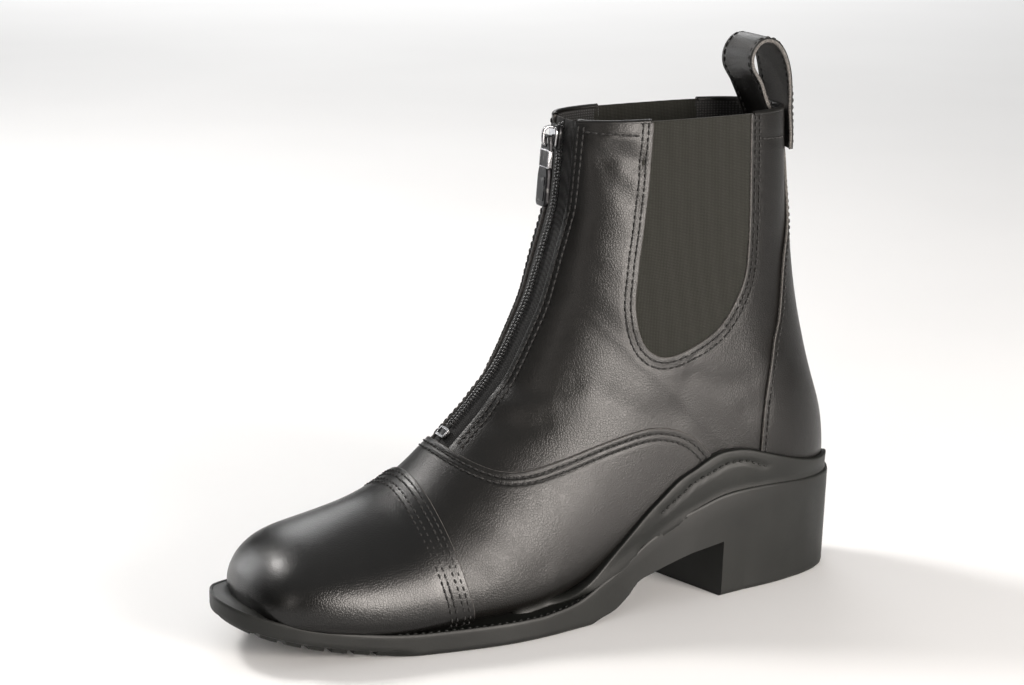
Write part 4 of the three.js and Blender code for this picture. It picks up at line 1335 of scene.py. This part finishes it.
def closed_spline(points, steps):
    """Centripetal curve through a closed row of points."""
    points = np.array(points, float)
    out = []
    count = len(points)
    for k in range(count):
        a, b, c, d = (points[(k + j - 1) % count] for j in range(4))
        t1 = np.linalg.norm(b - a) ** 0.5
        t2 = t1 + np.linalg.norm(c - b) ** 0.5
        t3 = t2 + np.linalg.norm(d - c) ** 0.5
        for t in np.linspace(t1, t2, steps, endpoint=False):
            ab = a * (t1 - t) / t1 + b * t / t1
            bc = b * (t2 - t) / (t2 - t1) + c * (t - t1) / (t2 - t1)
            cd = c * (t3 - t) / (t3 - t2) + d * (t - t2) / (t3 - t2)
            abc = ab * (t2 - t) / t2 + bc * t / t2
            bcd = bc * (t3 - t) / (t3 - t1) + cd * (t - t1) / (t3 - t1)
            out.append(abc * (t2 - t) / (t2 - t1) + bcd * (t - t1) / (t2 - t1))
    return np.array(out)


def sole_outline():
    half = SOLE_WIDTH / 2
    y = SOLE_TABLE[:, 0] * SOLE_LENGTH
    outer = np.stack([SOLE_TABLE[:, 1] * half, y], axis=1)
    inner = np.stack([SOLE_TABLE[:, 2] * half, y], axis=1)[::-1]
    points = np.vstack([[0.20 * half, -SOLE_LENGTH / 2], outer, [0.0, SOLE_LENGTH / 2], inner])
    line = closed_spline(points, 24)
    flat = resample(np.hstack([np.vstack([line, line[:1]]), np.zeros((len(line) + 1, 1))]), 1.5)[:-1, :2]
    ahead = unit(np.roll(flat, -1, axis=0) - np.roll(flat, 1, axis=0))
    return flat, np.stack([ahead[:, 1], -ahead[:, 0]], axis=1)


OUTLINE, OUTWARD = sole_outline()


def heel_taper(y):
    share = y / SOLE_LENGTH
    return 3.3 * np.clip((share - 0.2) / 0.1, 0, 1) * (1 - 0.75 * np.clip((share - 0.4) / 0.1, 0, 1))


def flat_cap(ring, spacing):
    """Inner points and triangles that fill a ring of (x, y) points."""
    low, high = ring.min(0), ring.max(0)
    xs = np.arange(low[0], high[0], spacing)
    ys = np.arange(low[1], high[1], spacing)
    inner = np.array([(x + (k % 2) * spacing / 2, y) for k, y in enumerate(ys) for x in xs])
    inner, _, faces, area = triangles_inside(ring, inner, spacing, 1e-7)
    faces[area < 0] = faces[area < 0][:, ::-1]
    return inner, faces


def ringed_solid(name, rings, material, low_z, high_z, spacing=6.0):
    """Closed solid from rings of (inset, height) along the sole's outline, with its two caps filled."""
    count = len(OUTLINE)
    verts = [np.hstack([OUTLINE - OUTWARD * np.broadcast_to(inset, (count,))[:, None],
                        np.broadcast_to(z, (count,))[:, None]]) for inset, z in rings]
    faces = grid_faces(len(rings), count, closed=True)
    size = len(rings) * count
    for base, ring, height, flip in ((0, verts[0], low_z, True), (size - count, verts[-1], high_z, False)):
        inner, caps = flat_cap(ring[:, :2], spacing)
        extra = np.hstack([inner, height(inner[:, 1])[:, None]])
        start = sum(len(v) for v in verts)
        index = np.concatenate([base + np.arange(count), start + np.arange(len(inner))])
        verts.append(extra)
        faces += [tuple(index[list(f[::-1] if flip else f)]) for f in caps]
    return make_object(name, np.vstack(verts), faces, [material])


def last_solid(offset):
    """The foot's room as a closed solid, from the last moved out by an offset."""
    u = np.concatenate([np.linspace(0, 3, 13), np.arange(3.5, LAST_ROW + 0.01, 0.5)])
    w = np.linspace(0.0, 1.0, 33)
    signed = np.concatenate([w, -w[-2:0:-1]])
    uw = np.stack(np.meshgrid(u, signed, indexing="ij"), axis=2).reshape(-1, 2)
    point, normal = place(uw)
    point = point + normal * offset
    rows, columns = len(u), len(signed)
    top = point[-columns:] + [0.0, 0.0, 12.0]
    faces = grid_faces(rows + 1, columns, closed=True)
    faces += [tuple(reversed(range(columns))), tuple(range(rows * columns, (rows + 1) * columns))]
    return make_object("last_cut", np.vstack([point, top]), faces, [sole_rubber])


def arch_solid():
    roof = side_curve(ARCH_ROOF, 14)
    rows, columns = 41, 64
    x = np.linspace(-72.0, 72.0, rows)
    y0 = np.linspace(roof[0, 0], roof[-1, 0], columns)
    y = y0[None, :] + BREAST_SKEW * x[:, None]
    high = np.minimum(np.interp(y0, roof[:, 0], roof[:, 1])[None, :], bed_at(y) - SHANK)
    xx = np.broadcast_to(x[:, None], y.shape)
    top = np.stack([xx, y, high], axis=2).reshape(-1, 3)
    low = np.stack([xx, y, np.full(y.shape, -12.0)], axis=2).reshape(-1, 3)
    size = rows * columns
    faces = [f[::-1] for f in grid_faces(rows, columns)]
    faces += [tuple(v + size for v in f[::-1]) for f in faces]
    rim = [(0, j) for j in range(columns - 1)] + [(i, columns - 1) for i in range(rows - 1)]
    rim += [(rows - 1, j) for j in range(columns - 1, 0, -1)] + [(i, 0) for i in range(rows - 1, 0, -1)]
    rim = [i * columns + j for i, j in rim]
    faces += [(rim[k], rim[(k + 1) % len(rim)], rim[(k + 1) % len(rim)] + size, rim[k] + size)
              for k in range(len(rim))]
    return make_object("arch_cut", np.vstack([top, low]), faces, [sole_rubber])


def groove_solids():
    """Cross grooves: right across at the toe, short of the edge elsewhere."""
    points, faces = [], []
    spots = [(y, 80.0, 0.0) for y in np.arange(-0.465, -0.28, 9.0 / SOLE_LENGTH) * SOLE_LENGTH]
    last_y = spots[-1][0]
    spots += [(y, 33.0, 3.0) for y in np.arange(last_y + 9.0, -0.04 * SOLE_LENGTH, 9.0)]
    spots += [(y, 22.0, 1.0) for y in np.arange(0.30 * SOLE_LENGTH, 0.45 * SOLE_LENGTH, 9.0)]
    for k, (y, half, shift) in enumerate(spots):
        z = float(spring_at(y))
        corners = [(shift + sx * half, y + sy * (1.5 if sz > 0 else 1.7), z + (2.0 if sz > 0 else -2.0))
                   for sz in (-1, 1) for sx, sy in ((-1, -1), (1, -1), (1, 1), (-1, 1))]
        points += corners
        b = 8 * k
        faces += [(b, b + 3, b + 2, b + 1), (b + 4, b + 5, b + 6, b + 7)]
        faces += [(b + j, b + (j + 1) % 4, b + 4 + (j + 1) % 4, b + 4 + j) for j in range(4)]
    return make_object("groove_cut", np.array(points), faces, [sole_rubber])


def carve(obj, cutters, operation="DIFFERENCE"):
    for cutter in cutters:
        made = obj.modifiers.new("cut", "BOOLEAN")
        made.operation = operation
        made.solver = "MANIFOLD"
        made.object = cutter
        bpy.context.view_layer.update()
    graph = bpy.context.evaluated_depsgraph_get()
    mesh = bpy.data.meshes.new_from_object(obj.evaluated_get(graph))
    obj.modifiers.clear()
    obj.data = mesh
    for cutter in cutters:
        bpy.data.objects.remove(cutter)
    mesh.polygons.foreach_set("use_smooth", np.ones(len(mesh.polygons), dtype=bool))
    mesh.set_sharp_from_angle(angle=math.radians(38))


def block_rings():
    y = OUTLINE[:, 1]
    base = spring_at(y)
    top = ledge_at(y)
    taper = heel_taper(y)
    lug = 1 - smooth((y + 88.0) / 16.0)

    def mix(plain, stepped):
        return plain + (stepped - plain) * lug

    rings = [(taper + mix(1.7, 3.3), base), (taper + mix(0.9, 2.6), base + 0.3),
             (taper + mix(0.3, 2.2), base + 0.9), (taper + mix(0.03, 2.1), base + mix(1.8, 2.2)),
             (taper + mix(0.0, 0.9), base + mix(2.5, 2.4)),
             (taper + mix(0.0, 0.2), base + mix(3.1, 2.8)), (taper, base + 3.9)]
    for share in np.linspace(0.2, 0.8, 4):
        rings.append((taper * (1 - share), (base + 3.9) * (1 - share) + (top - 1.3) * share))
    rings += [(0.0, top - 1.3), (0.10, top - 0.5), (0.42, top - 0.08), (0.8, top), (1.15, top - 0.12),
              (1.5, top - 0.5), (3.4, top - 0.6), (6.5, top - 0.6)]
    return rings


block = ringed_solid("sole_block", block_rings(), sole_rubber, spring_at, lambda y: ledge_at(y) - 0.6)
carve(block, [last_solid(0.2), arch_solid(), groove_solids()])
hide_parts("sole")

# Wing of the sole up the sides and round the heel, with a moulded stitch line

WING_LOOK = [[-0.130, 0.030], [-0.090, 0.052], [-0.035, 0.062], [0.005, 0.080], [0.038, 0.108],
             [0.083, 0.163], [0.120, 0.209], *WING_TOP[6:]]
WING_GROOVE = [(42, 43), (53, 50), (58, 53.2), (67, 56.3), (75, 59.0), (83.5, 59.0), (94, 55.3)]


def wing_loop():
    tops, lows = {}, {}
    for side in (1, -1):
        curve = side_curve(WING_LOOK)
        back = GRID[side][:, -1, 1:]
        low_start = -26.0
        over = np.array([p for p in curve if low_start < p[0]
                         and p[0] < np.interp(p[1], back[200:, 1], back[200:, 0]) - 0.4])
        tops[side] = even(to_uw(over, side), 1.3)
        y = np.linspace(low_start, over[-1, 0], 90)
        z = np.maximum(ledge_at(y) - 3.0, bed_at(y) + 0.5)
        z = np.minimum(z, np.interp(y, over[:, 0], over[:, 1]) - 0.8)
        lows[side] = even(to_uw(np.stack([y, z], axis=1), side), 1.6)
    return np.vstack([tops[1], tops[-1][::-1], lows[-1][1:], lows[1][1:][::-1]])


def groove_line(side):
    uw = even(to_uw(catmull(WING_GROOVE, 8), side), 0.8)
    return uw, place(uw)[0]


def wing_relief(point):
    """Height over the last, and how far the direction turns level where the wing runs out into the wall."""
    y, z = point[:, 1], point[:, 2]
    above = z - ledge_at(y)
    fillet = 1.3 * np.clip(1 - above / 3.5, 0, 1) ** 2
    wall = np.where(point[:, 0] > 0, np.interp(y / SOLE_LENGTH, SOLE_TABLE[:, 0], SOLE_TABLE[:, 1]),
                    -np.interp(y / SOLE_LENGTH, SOLE_TABLE[:, 0], SOLE_TABLE[:, 2])) * SOLE_WIDTH / 2
    short = np.maximum(0.0, wall + 0.05 - np.abs(point[:, 0]) - WING_HEIGHT)
    along = smooth((y + 12.0) / 16.0) * (1 - smooth((y - 28.0) / 8.0))
    blend = along * (1 - smooth((above - 0.5) / 12.0))
    relief = np.maximum(fillet, short * blend)
    for side in (1, -1):
        _, line = groove_line(side)
        away = nearest(point, line)
        relief = relief - 0.85 * np.exp(-(away / 0.95) ** 2)
    return relief, along[:, None] * (1 - smooth((above[:, None] - 4.0) / 10.0))


uw, faces = fill_loop(spaced_back_loop(wing_loop(), 1.2), 1.6, around_back=True)
point, normal = place(uw)
relief, turn = wing_relief(point)
level = WING_HEIGHT + relief
normal = normal * (1 - turn) + unit(normal * [1.0, 1.0, 0.0]) * turn
depth = np.maximum(level, 0.5) + 0.3
wing = panel_mesh("sole_wing", (point, normal), faces, level, depth, 0.8, [sole_rubber] * 3)


def moulded_stitches():
    lines = []
    for side in (1, -1):
        uw, _ = groove_line(side)
        centres, normal = place(uw)
        data = resample(np.hstack([centres, normal]), 3.3)
        lines.append((data[:, :3] + data[:, 3:] * (WING_HEIGHT - 0.75), data[:, 3:], 3.3))
    inset = OUTLINE - OUTWARD * 2.35
    for keep in (OUTLINE[:, 0] > 8.0, OUTLINE[:, 0] <= 8.0):
        part = inset[keep & (OUTLINE[:, 1] < 8.0)]
        order = np.argsort(np.arctan2(part[:, 0] - 8.0, -(part[:, 1] - 30.0)))
        part = part[order]
        line = np.column_stack([part, ledge_at(part[:, 1]) - 0.62])
        line = resample(line, 3.2)
        lines.append((line, np.broadcast_to([0.0, 0.0, 1.0], line.shape), 3.2))
    bars("moulded_stitches", lines, 0.55, sole_rubber, 0.7)


moulded_stitches()

# Insole, seen down the shaft


def insole_rings():
    y = OUTLINE[:, 1]
    bed = bed_at(y) + 2.3
    return [(9.2, bed), (9.0, bed + 0.6), (9.0, bed + 1.6), (9.6, bed + 2.1), (13.0, bed + 2.2)]


insole = ringed_solid("insole_sheet", insole_rings(), insole_cloth, lambda y: bed_at(y) + 2.3,
                      lambda y: bed_at(y) + 4.5)
carve(insole, [last_solid(-2.3)], "INTERSECT")
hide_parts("insole")

# Floor, light and camera


def stage_floor():
    mesh = bpy.data.meshes.new("floor")
    size = 6.0
    corners = [(-size, -size, 0), (size, -size, 0), (size, size, 0), (-size, size, 0)]
    mesh.from_pydata(corners, [], [(0, 1, 2, 3)])
    floor = bpy.data.objects.new("floor", mesh)
    material, tree, shader = new_material("floor_paint", (0.86, 0.86, 0.86), 0.75)
    cloud = noise(tree, coordinates(tree), 3.0, 2.0)
    tree.links.new(ramp(tree, cloud, (0.85, 0.85, 0.85), (0.88, 0.88, 0.88)), shader.inputs["Base Color"])
    mesh.materials.append(material)
    bpy.context.scene.collection.objects.link(floor)


def area_light(name, at, toward, size, power, size_y=None, color=(1.0, 1.0, 1.0)):
    data = bpy.data.lights.new(name, "AREA")
    data.energy = power
    data.size = size
    data.color = color
    if size_y is not None:
        data.shape = "RECTANGLE"
        data.size_y = size_y
    lamp = bpy.data.objects.new(name, data)
    lamp.location = at
    lamp.rotation_euler = (Vector(toward) - Vector(at)).to_track_quat("-Z", "Y").to_euler()
    bpy.context.scene.collection.objects.link(lamp)


stage_floor()
bpy.context.scene.view_settings.view_transform = "Standard"
bpy.context.scene.view_settings.exposure = -0.35
world = bpy.data.worlds.new("studio")
world.use_nodes = True
sky = world.node_tree
height = node(sky, "ShaderNodeSeparateXYZ")
sky.links.new(node(sky, "ShaderNodeTexCoord").outputs["Generated"], height.inputs[0])
glow = ramp(sky, height.outputs["Z"], (0.10, 0.10, 0.10), (1.0, 1.0, 1.0), (0.30, 0.70))
sky.links.new(glow, sky.nodes["Background"].inputs["Color"])
sky.nodes["Background"].inputs["Strength"].default_value = 0.5
bpy.context.scene.world = world
FOCUS = Vector((0.0, 0.0, 0.09))


def softbox(name, toward, distance, width, height, power, color=(1.0, 1.0, 1.0)):
    at = FOCUS + Vector(toward).normalized() * distance
    area_light(name, at, FOCUS, width, power, height, color)


softbox("overhead", (0.0, 0.05, 1.0), 2.1, 2.4, 2.4, 4.0)
softbox("right", (0.92, 0.33, 0.15), 1.5, 0.60, 0.80, 60.0, (1.0, 0.93, 0.87))
softbox("left", (0.64, -0.70, 0.28), 1.5, 0.30, 0.80, 4.0, (1.0, 0.93, 0.87))
softbox("rear", (-0.56, -0.41, 0.72), 1.4, 0.30, 0.30, 16.0, (1.0, 0.97, 0.94))
softbox("rim", (-0.86, -0.45, 0.22), 1.5, 0.4, 0.7, 6.0)
area_light("backdrop", (-3.0, 1.2, 1.5), (-2.4, 1.0, 0.0), 1.6, 45.0)

CAMERA_AT = Vector((0.89508, -0.45527, 0.36112))
CAMERA_PITCH = math.radians(13.98)
CAMERA_ROLL = math.radians(0.3009)
CAMERA_LENS = 88.0
CAMERA_AHEAD = Vector((-0.8948, 0.4463, 0.0)).normalized()


def photo_camera():
    ahead = CAMERA_AHEAD * math.cos(CAMERA_PITCH) - Vector((0, 0, 1)) * math.sin(CAMERA_PITCH)
    right = ahead.cross(Vector((0, 0, 1))).normalized()
    up = right.cross(ahead)
    rolled_right = right * math.cos(CAMERA_ROLL) + up * math.sin(CAMERA_ROLL)
    rolled_up = up * math.cos(CAMERA_ROLL) - right * math.sin(CAMERA_ROLL)
    data = bpy.data.cameras.new("camera")
    data.lens = CAMERA_LENS
    data.sensor_width = 36.0
    data.sensor_fit = "HORIZONTAL"
    camera = bpy.data.objects.new("camera", data)
    turn = Matrix((rolled_right, rolled_up, -ahead)).transposed().to_4x4()
    camera.matrix_world = Matrix.Translation(CAMERA_AT) @ turn
    bpy.context.scene.collection.objects.link(camera)
    bpy.context.scene.camera = camera


photo_camera()
